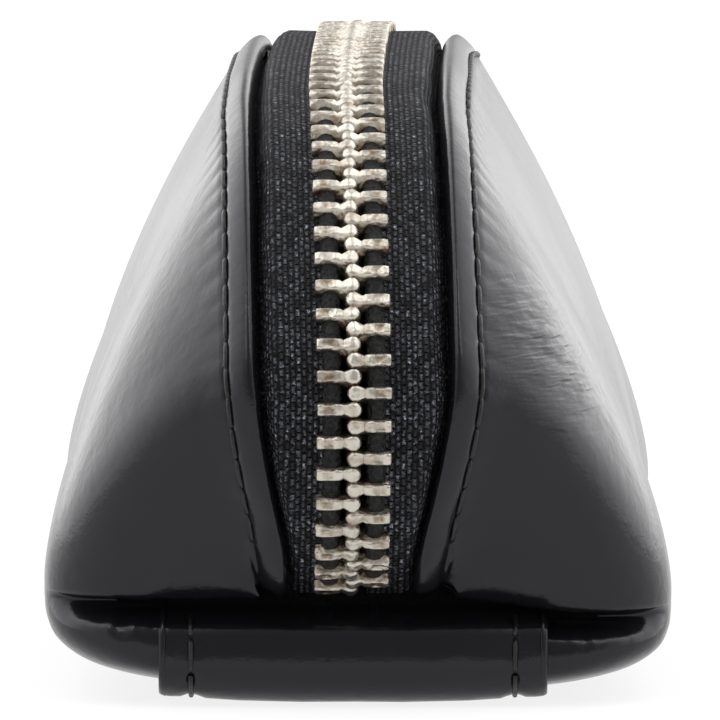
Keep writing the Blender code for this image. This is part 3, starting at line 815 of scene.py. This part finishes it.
def end_profile(offset):
    """Side view of the underside, moved out by an offset, from one seam to the other."""
    half = [(y, z) for x, y, z in bowl_levels(STRIP_STEPS)] + [(BOWL[-1][1] - STRIP_FLAT, FLOOR_Z)]
    moved = []
    for i, (y, z) in enumerate(half):
        a = half[max(i - 1, 0)]
        b = half[min(i + 1, len(half) - 1)]
        ty, tz = b[0] - a[0], b[1] - a[1]
        k = math.hypot(ty, tz)
        out = offset * (1.0 - 0.5 * smooth((z - FLOOR_Z) / 4.0))
        low = max(z + ty / k * out, FLOOR_Z - out)
        moved.append((y - tz / k * out - groove(low, 1.0), low))
    return np.array([(-y, z) for y, z in moved] + [(y, z) for y, z in reversed(moved)])


# Half of the strip's section: place across it, and how deep it lies in the strip's thickness.
STRIP_SECTION = [
    (-15.1, 1.0), (-15.3, 0.85), (-15.25, 0.66), (-15.0, 0.52), (-14.4, 0.44), (-13.6, 0.42),
    (-13.1, 0.48), (-12.8, 0.55), (-12.5, 0.46), (-11.6, 0.3), (-9.0, 0.14), (-4.0, 0.02), (0.0, 0.0),
]


class PURSE_OT_strip(bpy.types.Operator):
    """Make the base strip with its turned and sewn edges"""

    bl_idname = "purse.strip"
    bl_label = "Base Strip"

    def execute(self, context):
        section = STRIP_SECTION + [(-x, h) for x, h in reversed(STRIP_SECTION[:-1])]
        outer = end_profile(FLOOR_Z)
        inner = end_profile(FLOOR_Z - STRIP_DEPTH)
        run = run_lengths(outer)
        where = np.linspace(0.0, run[-1], STRIP_LINES)
        levels = at_lengths(where, run, outer)
        depths = at_lengths(where, run, inner)
        stitch = size_mm("stitch")
        points = np.zeros((STRIP_LINES, len(section), 3))
        for i, (level, deep) in enumerate(zip(levels, depths)):
            pulse = 0.5 + 0.5 * math.cos(2.0 * math.pi * where[i] / stitch)
            raised = max(level[1], 0.0)
            for j, (x, h) in enumerate(section):
                dent = STRIP_DENT * pulse * math.exp(-((abs(x) - STRIP_DENT_X) / 0.6) ** 2)
                wave = STRIP_WAVE * soft_noise((x, where[i], 2.0), 6.0, base_seed() + 9)
                f = min(1.0, h + dent + max(0.0, wave))
                y = level[0] + (deep[0] - level[0]) * f
                points[i, j] = (x + STRIP_SHIFT, y, raised + (deep[1] - raised) * f)
        obj = sheet_piece("base_strip_leather", points, STRIP_THICKNESS, "leather", ("base_strip",))
        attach(obj, "base")
        return {"FINISHED"}


# Tape: steps along and across it, how far it runs past the zip's ends, its thickness.
TAPE_STEPS = 300
TAPE_STEPS_ACROSS = 22
TAPE_OVERRUN = 2.5
TAPE_THICKNESS = 0.5

# Across the tape: start of its flat part at the teeth, the flat part's end, and how deep it lies.
TAPE_START = 1.2
TAPE_FLAT = 6.1
TAPE_LEVEL = -1.1

# Past the flat part: room beside the leather's edge, depth below it, and the wing that goes on under it.
TAPE_EDGE_ROOM = 0.8
TAPE_UNDER_EDGE = 1.75
TAPE_WING = 2.2

# How far the tape rises half way to that edge and everywhere, and the depth of its waves.
TAPE_CROWN = 0.25
TAPE_LIFT = 0.25
TAPE_WAVE = 0.16


class PURSE_OT_tape(bpy.types.Operator):
    """Make the two woven tapes of the zip"""

    bl_idname = "purse.tape"
    bl_label = "Zip Tapes"

    def execute(self, context):
        for word, side in SIDES:
            points = np.zeros((TAPE_STEPS + 1, TAPE_STEPS_ACROSS + 1, 3))
            uv = np.zeros((TAPE_STEPS + 1, TAPE_STEPS_ACROSS + 1, 2))
            for i in range(TAPE_STEPS + 1):
                s = (HALF_ARC + TAPE_OVERRUN) * (2.0 * i / TAPE_STEPS - 1.0)
                start, along, stand = panel_frame(s, side, slope(s))
                off = spread(s)
                edge = start - stand * TAPE_UNDER_EDGE
                wing = edge + along * (TAPE_WING * slot(s) / SLOT_HALF_WIDTH)
                inner = on_arch(s, side * (TAPE_START + off), TAPE_LEVEL)
                reach = abs(edge[0] - drift(s))
                flat = on_arch(s, side * min(TAPE_FLAT + off, reach - TAPE_EDGE_ROOM), TAPE_LEVEL)
                crown = 0.5 * (flat + edge) + stand * TAPE_CROWN
                keys = np.array([inner, flat, crown, edge, wing])
                run = run_lengths(keys)
                where = np.linspace(0.0, run[-1], TAPE_STEPS_ACROSS + 1)
                points[i] = at_lengths(where, run, keys)
                uv[i, :, 0] = s
                uv[i, :, 1] = where
            normals = grid_normals(points)
            for i, j in np.ndindex(points.shape[:2]):
                place = (points[i, j, 0], uv[i, j, 0], 0.0)
                wave = TAPE_WAVE * soft_noise(place, 5.0, base_seed() + side)
                points[i, j] += normals[i, j] * (TAPE_LIFT + wave * smooth(j / 6.0))
            nodes = (word + "_tape",)
            obj = sheet_piece(word + "_woven_tape", points, TAPE_THICKNESS, "tape", nodes, uv)
            follow(obj)
        return {"FINISHED"}


def repeat_tree(name):
    """Node tree that sets one small mesh on every point, turned by the point's own angles."""
    tree = bpy.data.node_groups.new(name, "GeometryNodeTree")
    for label, kind in (("Geometry", "Geometry"), ("Piece", "Object"), ("Finish", "Material")):
        tree.interface.new_socket(label, in_out="INPUT", socket_type="NodeSocket" + kind)
    tree.interface.new_socket("Geometry", in_out="OUTPUT", socket_type="NodeSocketGeometry")
    entry = tree.nodes.new("NodeGroupInput").outputs
    points = add_node(tree, "GeometryNodeMeshToPoints", {"Mesh": entry["Geometry"]})
    piece = add_node(tree, "GeometryNodeObjectInfo", {"Object": entry["Piece"]})
    turn = add_node(tree, "GeometryNodeInputNamedAttribute", {"Name": "turn"}, data_type="FLOAT_VECTOR")
    euler = add_node(tree, "FunctionNodeEulerToRotation", {"Euler": turn.outputs["Attribute"]})
    place = add_node(tree, "GeometryNodeInstanceOnPoints", {
        "Points": points.outputs["Points"],
        "Instance": piece.outputs["Geometry"],
        "Rotation": euler.outputs["Rotation"],
    })
    real = add_node(tree, "GeometryNodeRealizeInstances", {"Geometry": place.outputs["Instances"]})
    coat = {"Geometry": real.outputs["Geometry"], "Material": entry["Finish"]}
    coat = add_node(tree, "GeometryNodeSetMaterial", coat)
    add_node(tree, "NodeGroupOutput", {"Geometry": coat.outputs["Geometry"]})
    return tree


def repeat(name, piece, spots, finish):
    """One mesh with a small piece at every spot, a list of (point in mm, angles)."""
    mesh = bpy.data.meshes.new(name)
    mesh.from_pydata([tuple(c * MM for c in p) for p, turn in spots], [], [])
    attribute = mesh.attributes.new("turn", "FLOAT_VECTOR", "POINT")
    for i, (p, turn) in enumerate(spots):
        attribute.data[i].vector = turn
    obj = add_object(name, mesh)
    tree = bpy.data.node_groups.get("repeat_along_seam") or repeat_tree("repeat_along_seam")
    mod = obj.modifiers.new("repeat", "NODES")
    mod.node_group = tree
    sockets = {item.name: item.identifier for item in tree.interface.items_tree if item.in_out == "INPUT"}
    mod[sockets["Piece"]] = piece
    mod[sockets["Finish"]] = finish_named(finish)
    plain_mesh(obj)
    bpy.data.objects.remove(piece)
    return obj


# Along one tooth, from outer end to nib: place, half thickness, height of its face, depth of its dimple.
TOOTH_STATIONS = [
    (-2.95, 0.36, -0.22, 0.0), (-2.86, 0.47, -0.04, 0.0), (-2.6, 0.50, 0.0, 0.0), (-2.3, 0.50, 0.0, 0.10),
    (-2.0, 0.50, 0.0, 0.14), (-1.7, 0.50, 0.0, 0.10), (-1.4, 0.49, 0.0, 0.0), (-1.0, 0.46, -0.02, 0.0),
    (-0.78, 0.42, -0.16, 0.0), (-0.55, 0.50, -0.06, 0.0), (-0.2, 0.60, 0.10, 0.0), (0.15, 0.59, 0.10, 0.0),
    (0.4, 0.45, -0.04, 0.0), (0.57, 0.22, -0.26, 0.0),
]

# Points round a tooth that are its dimple, and how much painted shade its walls get at theirs: the lower
# walls are darkened towards brown as painted shade.
DIMPLE_POINTS = (4, 5, 6)
WALL_SHADE = {0: 1.6, 1: 1.4, 2: 0.4, 8: 0.4, 9: 1.6}

# Cord that a row of teeth grips: steps along and round it, distance from the middle, depth and radius.
CORD_STEPS = 320
CORD_STEPS_ROUND = 12
CORD_X = 1.75
CORD_LEVEL = -1.15
CORD_RADIUS = 0.80

# How far the cord starts before the first tooth, and how much longer than the row it is.
CORD_LEAD = 0.4
CORD_EXTRA = 5.0


def tooth_piece(side):
    """One metal tooth: a bar with a dimple, a waist and a head with a raised nib."""
    bm = bmesh.new()
    # This layer holds the dimple's real patina and painted shade on the tooth's lower walls.
    stain = bm.verts.layers.float.new("stain")
    loops = []
    for x, half, face, dimple in TOOTH_STATIONS:
        web = 0.5 * math.exp(-(((x + 0.75) / 0.42) ** 2))
        ring = [
            (-half - web, -TOOTH_THICKNESS), (-half - 0.7 * web, face - 0.9), (-half, face - 0.2),
            (-half + 0.13, face - 0.02), (-0.45 * half, face - 0.8 * dimple), (0.0, face - dimple),
            (0.45 * half, face - 0.8 * dimple), (half - 0.13, face - 0.02), (half, face - 0.2),
            (half, -TOOTH_THICKNESS),
        ]
        loop = []
        for k, (y, z) in enumerate(ring):
            vert = bm.verts.new((-side * x * MM, y * MM, z * MM))
            vert[stain] = 1.0 if dimple > 0.05 and k in DIMPLE_POINTS else WALL_SHADE.get(k, 0.0)
            loop.append(vert)
        loops.append(loop)
    for a, b in zip(loops, loops[1:]):
        for k in range(len(a)):
            bm.faces.new((a[k - 1], a[k], b[k], b[k - 1]))
    bm.faces.new(loops[0])
    bm.faces.new(loops[-1])
    bmesh.ops.triangulate(bm, faces=[f for f in bm.faces if len(f.verts) > 4])
    bmesh.ops.recalc_face_normals(bm, faces=bm.faces)
    mesh = bpy.data.meshes.new("tooth")
    bm.to_mesh(mesh)
    bm.free()
    mesh.shade_smooth()
    mesh.set_sharp_from_angle(angle=50.0 * RAD)
    return add_object("tooth", mesh)


class PURSE_OT_teeth(bpy.types.Operator):
    """Set the two rows of metal teeth along the zip and the cords they grip"""

    bl_idname = "purse.teeth"
    bl_label = "Zip Teeth"

    def execute(self, context):
        first = -HALF_ARC + FIRST_TOOTH
        last = STOP_S - 0.5 * TOOTH_PITCH
        for word, side in SIDES:
            spots = []
            s = first + (0.5 * TOOTH_PITCH if side > 0 else 0.0)
            while s < last:
                off = spread(s)
                b = arch(s)[2]
                tilt = 0.02 * soft_noise((s, side, 0.0), 3.0, 5)
                spots.append((on_arch(s, side * off, 0.0), (-b + tilt, 0.0, tilt)))
                s += TOOTH_PITCH
            obj = repeat(word + "_metal_teeth", tooth_piece(side), spots, "teeth")
            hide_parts(word + "_teeth")
            follow(obj)
            points = np.zeros((CORD_STEPS + 1, CORD_STEPS_ROUND + 1, 3))
            for i, j in np.ndindex(points.shape[:2]):
                q = first - CORD_LEAD + (last + CORD_EXTRA - first) * i / CORD_STEPS
                a = 2.0 * math.pi * j / CORD_STEPS_ROUND
                x = CORD_X + spread(q) + CORD_RADIUS * math.cos(a)
                points[i, j] = on_arch(q, side * x, CORD_LEVEL + CORD_RADIUS * math.sin(a))
            cord = grid_mesh(word + "_bead_cord", points)
            weld = cord.modifiers.new("close", "WELD")
            weld.merge_threshold = 0.00001
            plain_mesh(cord)
            if side < 0:
                cord.data.flip_normals()
            dress(cord, "cord")
            follow(cord)
        return {"FINISHED"}


# Share of a stitch that shows, how far it stands off the edge, and where on the edge's width it runs.
STITCH_SHOWS = 0.86
STITCH_LIFT = 0.1
STITCH_PLACE = 0.98

# Length without stitches at the ends of the turned edges and of the strip.
EDGE_STITCH_MARGIN = 7.0
STRIP_STITCH_MARGIN = 3.5


def stitch_piece():
    """One stitch of twisted thread, sunk at both ends."""
    length = STITCH_SHOWS * size_mm("stitch")
    thick = size_mm("thread")
    curve = bpy.data.curves.new("stitch", "CURVE")
    curve.dimensions = "3D"
    curve.bevel_depth = 0.5 * thick * MM
    curve.bevel_resolution = 2
    curve.use_fill_caps = True
    spline = curve.splines.new("POLY")
    steps = 8
    spline.points.add(steps)
    for i in range(steps + 1):
        t = i / steps
        dip = -0.9 * thick * (2.0 * t - 1.0) ** 4
        spline.points[i].co = ((t - 0.5) * length * MM, 0.0, dip * MM, 1.0)
    obj = add_object("stitch", curve)
    mesh = final_mesh(obj)
    bpy.data.objects.remove(obj)
    mesh.shade_smooth()
    bm = bmesh.new()
    bm.from_mesh(mesh)
    bmesh.ops.remove_doubles(bm, verts=bm.verts, dist=1e-7)
    bm.to_mesh(mesh)
    bm.free()
    return add_object("stitch", mesh)


def turned(along, up):
    """Angles that lay a piece's X along one direction with its Z up another."""
    x = Vector(along).normalized()
    z = Vector(up)
    z = (z - x * z.dot(x)).normalized()
    y = z.cross(x)
    return Matrix((x, y, z)).transposed().to_euler()


class PURSE_OT_stitches(bpy.types.Operator):
    """Sew the turned edges and the base strip"""

    bl_idname = "purse.stitches"
    bl_label = "Stitches"

    def execute(self, context):
        pitch = size_mm("stitch")
        for word, side in SIDES:
            spots = []
            s = -HALF_ARC + EDGE_STITCH_MARGIN
            while s < HALF_ARC - EDGE_STITCH_MARGIN:
                t = 0.5 * (s / HALF_ARC + 1.0)
                a = self.foot(t - 0.002, side)
                b = self.foot(t + 0.002, side)
                stand = panel_frame(s, side, slope(s))[2]
                spots.append((self.foot(t, side) + stand * STITCH_LIFT, turned(b - a, stand)))
                s += pitch
            obj = repeat(word + "_edge_stitches", stitch_piece(), spots, "thread")
            follow(obj)
        spots = []
        path = 0.5 * (end_profile(FLOOR_Z) + end_profile(FLOOR_Z - STRIP_DEPTH))
        run = run_lengths(path)
        for _, side in SIDES:
            where = STRIP_STITCH_MARGIN
            while where < run[-1] - STRIP_STITCH_MARGIN:
                y, z = at_lengths(where, run, path)
                dy, dz = at_lengths(where + 0.4, run, path) - (y, z)
                spot = (side * STRIP_STITCH_X + STRIP_SHIFT, y, z)
                spots.append((spot, turned((0.0, dy, dz), (0.0, dz, -dy))))
                where += pitch
        obj = repeat("base_strip_stitches", stitch_piece(), spots, "thread")
        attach(obj, "base")
        return {"FINISHED"}

    def foot(self, t, side):
        """Stitched foot of the turned edge."""
        s = HALF_ARC * (2.0 * t - 1.0)
        edge, lean = panel_frame(s, side, slope(s))[:2]
        return edge + lean * (STITCH_PLACE * edge_scale(s) * size_mm("ridge_width"))


# Lining of the sides: lines along it, share left off each end, rows left off above and below.
LINING_LINES = 120
LINING_TRIM = 0.02
LINING_ROW_TRIM = 3

# How deep that lining hangs below the leather's face, depth of its waves, and its thickness.
LINING_DEPTH = 2.3
LINING_WAVE = 0.25
LINING_THICKNESS = 0.4

# Lining on the floor: half width, half length, height, depth of its waves, and thickness.
FLOOR_CLOTH_X = 22.0
FLOOR_CLOTH_Y = 49.0
FLOOR_CLOTH_Z = 3.3
FLOOR_CLOTH_WAVE = 0.12
FLOOR_CLOTH_THICKNESS = 0.35

# Its raised rim, the share of the half width at which that starts, and its points along and across.
FLOOR_CLOTH_RIM = 3.2
FLOOR_CLOTH_TURN = 0.72
FLOOR_CLOTH_ROWS = 80
FLOOR_CLOTH_COLS = 40


class PURSE_OT_lining(bpy.types.Operator):
    """Hang the cloth lining inside both sides and lay it on the floor"""

    bl_idname = "purse.lining"
    bl_label = "Lining"

    def execute(self, context):
        for word, side in SIDES:
            top = RIDGE_ROWS + LINING_ROW_TRIM
            end = RIDGE_ROWS + PANEL_ROWS - LINING_ROW_TRIM
            points = side_lines(side, LINING_LINES, LINING_TRIM)[:, top:end:2]
            normals = grid_normals(points)
            for i, j in np.ndindex(points.shape[:2]):
                wave = LINING_WAVE * soft_noise(points[i, j], 6.0, base_seed() + 20 + side)
                points[i, j] -= normals[i, j] * (LINING_DEPTH + wave)
            nodes = (word + "_lining",)
            obj = sheet_piece(word + "_lining_cloth", points, LINING_THICKNESS, "lining", nodes)
            follow(obj)
        rows = np.linspace(-1.0, 1.0, FLOOR_CLOTH_ROWS)
        cols = np.linspace(-1.0, 1.0, FLOOR_CLOTH_COLS)
        points = np.zeros((len(rows), len(cols), 3))
        for i, v in enumerate(rows):
            for j, u in enumerate(cols):
                x = FLOOR_CLOTH_X * u * (1.0 - 0.3 * v**8)
                y = FLOOR_CLOTH_Y * v * (1.0 - 0.1 * u**8)
                edge = max(abs(u), abs(v))
                rim = max(0.0, (edge - FLOOR_CLOTH_TURN) / (1.0 - FLOOR_CLOTH_TURN))
                wave = FLOOR_CLOTH_WAVE * soft_noise((x, y, 0.0), 5.0, base_seed() + 30)
                points[i, j] = (x, y, FLOOR_CLOTH_Z + wave + FLOOR_CLOTH_RIM * rim**2)
        nodes = ("base_lining",)
        obj = sheet_piece("floor_lining_cloth", points, FLOOR_CLOTH_THICKNESS, "lining", nodes, inside=BELOW)
        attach(obj, "base")
        return {"FINISHED"}


# Metal pieces with the bodies that they ride on.
METAL_BODIES = {
    "slider_body": "slider",
    "slider_crown": "slider",
    "lock_pawl": "slider",
    "pull_tab": "pull",
}

# Width of the rounding on the edges of metal, stops, tab and bindings.
METAL_ROUND = 0.18
STOP_ROUND = 0.12
TAB_ROUND = 0.2
BINDING_ROUND = 0.3


class PURSE_OT_fittings(bpy.types.Operator):
    """Finish the slider, the pull, the stops and the pieces inside the seams"""

    bl_idname = "purse.fittings"
    bl_label = "Fittings"

    def execute(self, context):
        for node, body in METAL_BODIES.items():
            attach(self.softened(node, METAL_ROUND, "hardware", "hardware"), body)
        for word, _ in SIDES:
            follow(self.softened(word + "_top_stop", STOP_ROUND, "hardware", "hardware"))
        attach(self.softened("zip_end_tab", TAB_ROUND, "leather", "leather"), "base")
        # The bindings' near-black finish is painted shade where they show in the groove below the seam.
        for node in ("near_seam_binding", "far_seam_binding"):
            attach(self.softened(node, BINDING_ROUND, "binding", "lining"), "base")
        paint(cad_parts["base_stiffener"], "lining")
        return {"FINISHED"}

    def softened(self, node, width, finish, slot_name):
        """Copy of a solid with its edges rounded, in place of it."""
        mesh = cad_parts[node].data.copy()
        bm = bmesh.new()
        bm.from_mesh(mesh)
        bmesh.ops.remove_doubles(bm, verts=bm.verts, dist=1e-6)
        bmesh.ops.dissolve_limit(bm, angle_limit=0.5 * RAD, verts=bm.verts, edges=bm.edges)
        bm.to_mesh(mesh)
        bm.free()
        obj = add_object(node + "_finished", mesh)
        bevel = obj.modifiers.new("edges", "BEVEL")
        bevel.width = width * MM
        bevel.segments = 3
        bevel.limit_method = "ANGLE"
        bevel.angle_limit = 30.0 * RAD
        plain_mesh(obj)
        obj.data.shade_smooth()
        obj.data.set_sharp_from_angle(angle=35.0 * RAD)
        dress(obj, finish, (node,))
        return obj


# Where the photograph was taken from: mm from the front of the bulge, degrees above level, and lens.
CAMERA_DISTANCE = 1000.0
CAMERA_ELEVATION = 5.5
CAMERA_LENS = 643.2

# Where that front of the bulge stands in the picture, in mm.
BULGE_BELOW_MIDDLE = 3.65
BULGE_LEFT_OF_MIDDLE = 0.2

# Strength of the white tent in front of the purse, behind it and at its sides.
FRONT_LIGHT = 0.37
BACK_LIGHT = 0.6
SIDE_LIGHT = 2.2

# Two strip lamps: power of both, size of each, place of the right one and the point they aim at, in m.
TOP_LIGHT = 0.6
LAMP_SIZE = (0.03, 0.4)
LAMP_PLACE = (0.2, -0.25, 0.5)
LAMP_TARGET = (0.0, -0.03, 0.03)

# Share of plain white in the floor as camera and reflections see it; the rest keeps the purse's shadow.
FLOOR_WHITE = 0.8


class PURSE_OT_stage(bpy.types.Operator):
    """Set the white stage, the soft lights and the camera"""

    bl_idname = "purse.stage"
    bl_label = "Stage"

    def execute(self, context):
        self.camera(context.scene)
        self.floor()
        self.lights(context.scene)
        context.scene.view_settings.view_transform = "Standard"
        return {"FINISHED"}

    def camera(self, scene):
        """Look at the near end as the photograph does."""
        e = CAMERA_ELEVATION * RAD
        ahead = Vector((0.0, math.cos(e), -math.sin(e)))
        up = Vector((0.0, math.sin(e), math.cos(e)))
        bulge = Vector((0.0, -HALF_LENGTH, NOSE_Z))
        place = bulge - ahead * CAMERA_DISTANCE + up * BULGE_BELOW_MIDDLE
        place.x += BULGE_LEFT_OF_MIDDLE
        data = bpy.data.cameras.new("camera")
        data.lens = CAMERA_LENS
        data.sensor_width = 36.0
        data.clip_start = 0.01
        obj = add_object("camera", data)
        obj.location = place * MM
        obj.rotation_euler = (0.5 * math.pi - e, 0.0, 0.0)
        scene.camera = obj

    def floor(self):
        """Lay a white floor that shows the shadow faintly."""
        bpy.ops.mesh.primitive_plane_add(size=6.0, location=(0.0, 0.0, -0.0002))
        obj = bpy.context.object
        obj.name = "floor"
        material, tree, shader = new_material("white_floor")
        feed(tree, shader, {
            "Base Color": (0.9, 0.9, 0.9, 1.0),
            "Roughness": 0.9,
            "Specular IOR Level": 0.0,
            "Emission Color": (1.0, 1.0, 1.0, 1.0),
            "Emission Strength": 0.2,
        })
        path = tree.nodes.new("ShaderNodeLightPath").outputs
        seen = path["Is Camera Ray"]
        for ray in ("Is Glossy Ray", "Is Transmission Ray"):
            seen = math_node(tree, "MAXIMUM", seen, path[ray])
        share = math_node(tree, "MULTIPLY", seen, FLOOR_WHITE)
        white = tree.nodes.new("ShaderNodeEmission").outputs["Emission"]
        mix = add_node(tree, "ShaderNodeMixShader", {"Fac": share, 1: shader.outputs["BSDF"], 2: white})
        feed(tree, tree.nodes["Material Output"], {"Surface": mix.outputs["Shader"]})
        obj.data.materials.append(material)

    def lights(self, scene):
        """Put up a white tent, darker in front, and two strip lamps."""
        world = bpy.data.worlds.new("studio")
        scene.world = world
        world.use_nodes = True
        tree = world.node_tree
        split = {"Vector": coordinates(tree, "Generated")}
        split = add_node(tree, "ShaderNodeSeparateXYZ", split).outputs
        cards = range_node(tree, math_node(tree, "ABSOLUTE", split["X"]), BACK_LIGHT, SIDE_LIGHT, 0.08, 0.3)
        tent = range_node(tree, split["Y"], FRONT_LIGHT, cards, -0.9, 0.1)
        feed(tree, tree.nodes["Background"], {"Color": (1.0, 1.0, 1.0, 1.0), "Strength": tent})
        for word, side in SIDES:
            data = bpy.data.lights.new(word + "_top_light", "AREA")
            data.shape = "RECTANGLE"
            data.size, data.size_y = LAMP_SIZE
            data.energy = 0.5 * TOP_LIGHT
            obj = add_object(word + "_top_light", data)
            obj.location = (side * LAMP_PLACE[0], *LAMP_PLACE[1:])
            aim = Vector(LAMP_TARGET) - obj.location
            obj.rotation_euler = aim.to_track_quat("-Z", "Y").to_euler()


class PURSE_PT_panel(bpy.types.Panel):
    """Purse pieces in the order they are made"""

    bl_label = "Coin Purse"
    bl_idname = "PURSE_PT_panel"
    bl_space_type = "VIEW_3D"
    bl_region_type = "UI"
    bl_category = "Purse"

    def draw(self, context):
        column = self.layout.column()
        for operator in OPERATORS:
            column.operator(operator.bl_idname)
        for name in ("ridge_width", "leather", "stitch", "thread", "wrinkle", "seed"):
            column.prop(context.scene.purse_sizes, name)
        for name in ("leather", "tape", "nickel", "patina", "lining"):
            column.prop(context.scene.purse_colours, name)


OPERATORS = (
    PURSE_OT_stage,
    PURSE_OT_leather,
    PURSE_OT_strip,
    PURSE_OT_tape,
    PURSE_OT_teeth,
    PURSE_OT_stitches,
    PURSE_OT_lining,
    PURSE_OT_fittings,
)
CLASSES = (PurseSizes, PurseColours, *OPERATORS, PURSE_PT_panel)


def register():
    """Make the sizes, colours, operators and panel known."""
    for cls in CLASSES:
        bpy.utils.register_class(cls)
    bpy.types.Scene.purse_sizes = PointerProperty(type=PurseSizes)
    bpy.types.Scene.purse_colours = PointerProperty(type=PurseColours)


def unregister():
    """Take them all away again."""
    del bpy.types.Scene.purse_colours
    del bpy.types.Scene.purse_sizes
    for cls in reversed(CLASSES):
        bpy.utils.unregister_class(cls)


def main():
    register()
    bpy.ops.purse.stage()
    bpy.ops.purse.leather()
    bpy.ops.purse.strip()
    bpy.ops.purse.tape()
    bpy.ops.purse.teeth()
    bpy.ops.purse.stitches()
    bpy.ops.purse.lining()
    bpy.ops.purse.fittings()


if __name__ == "__main__":
    main()
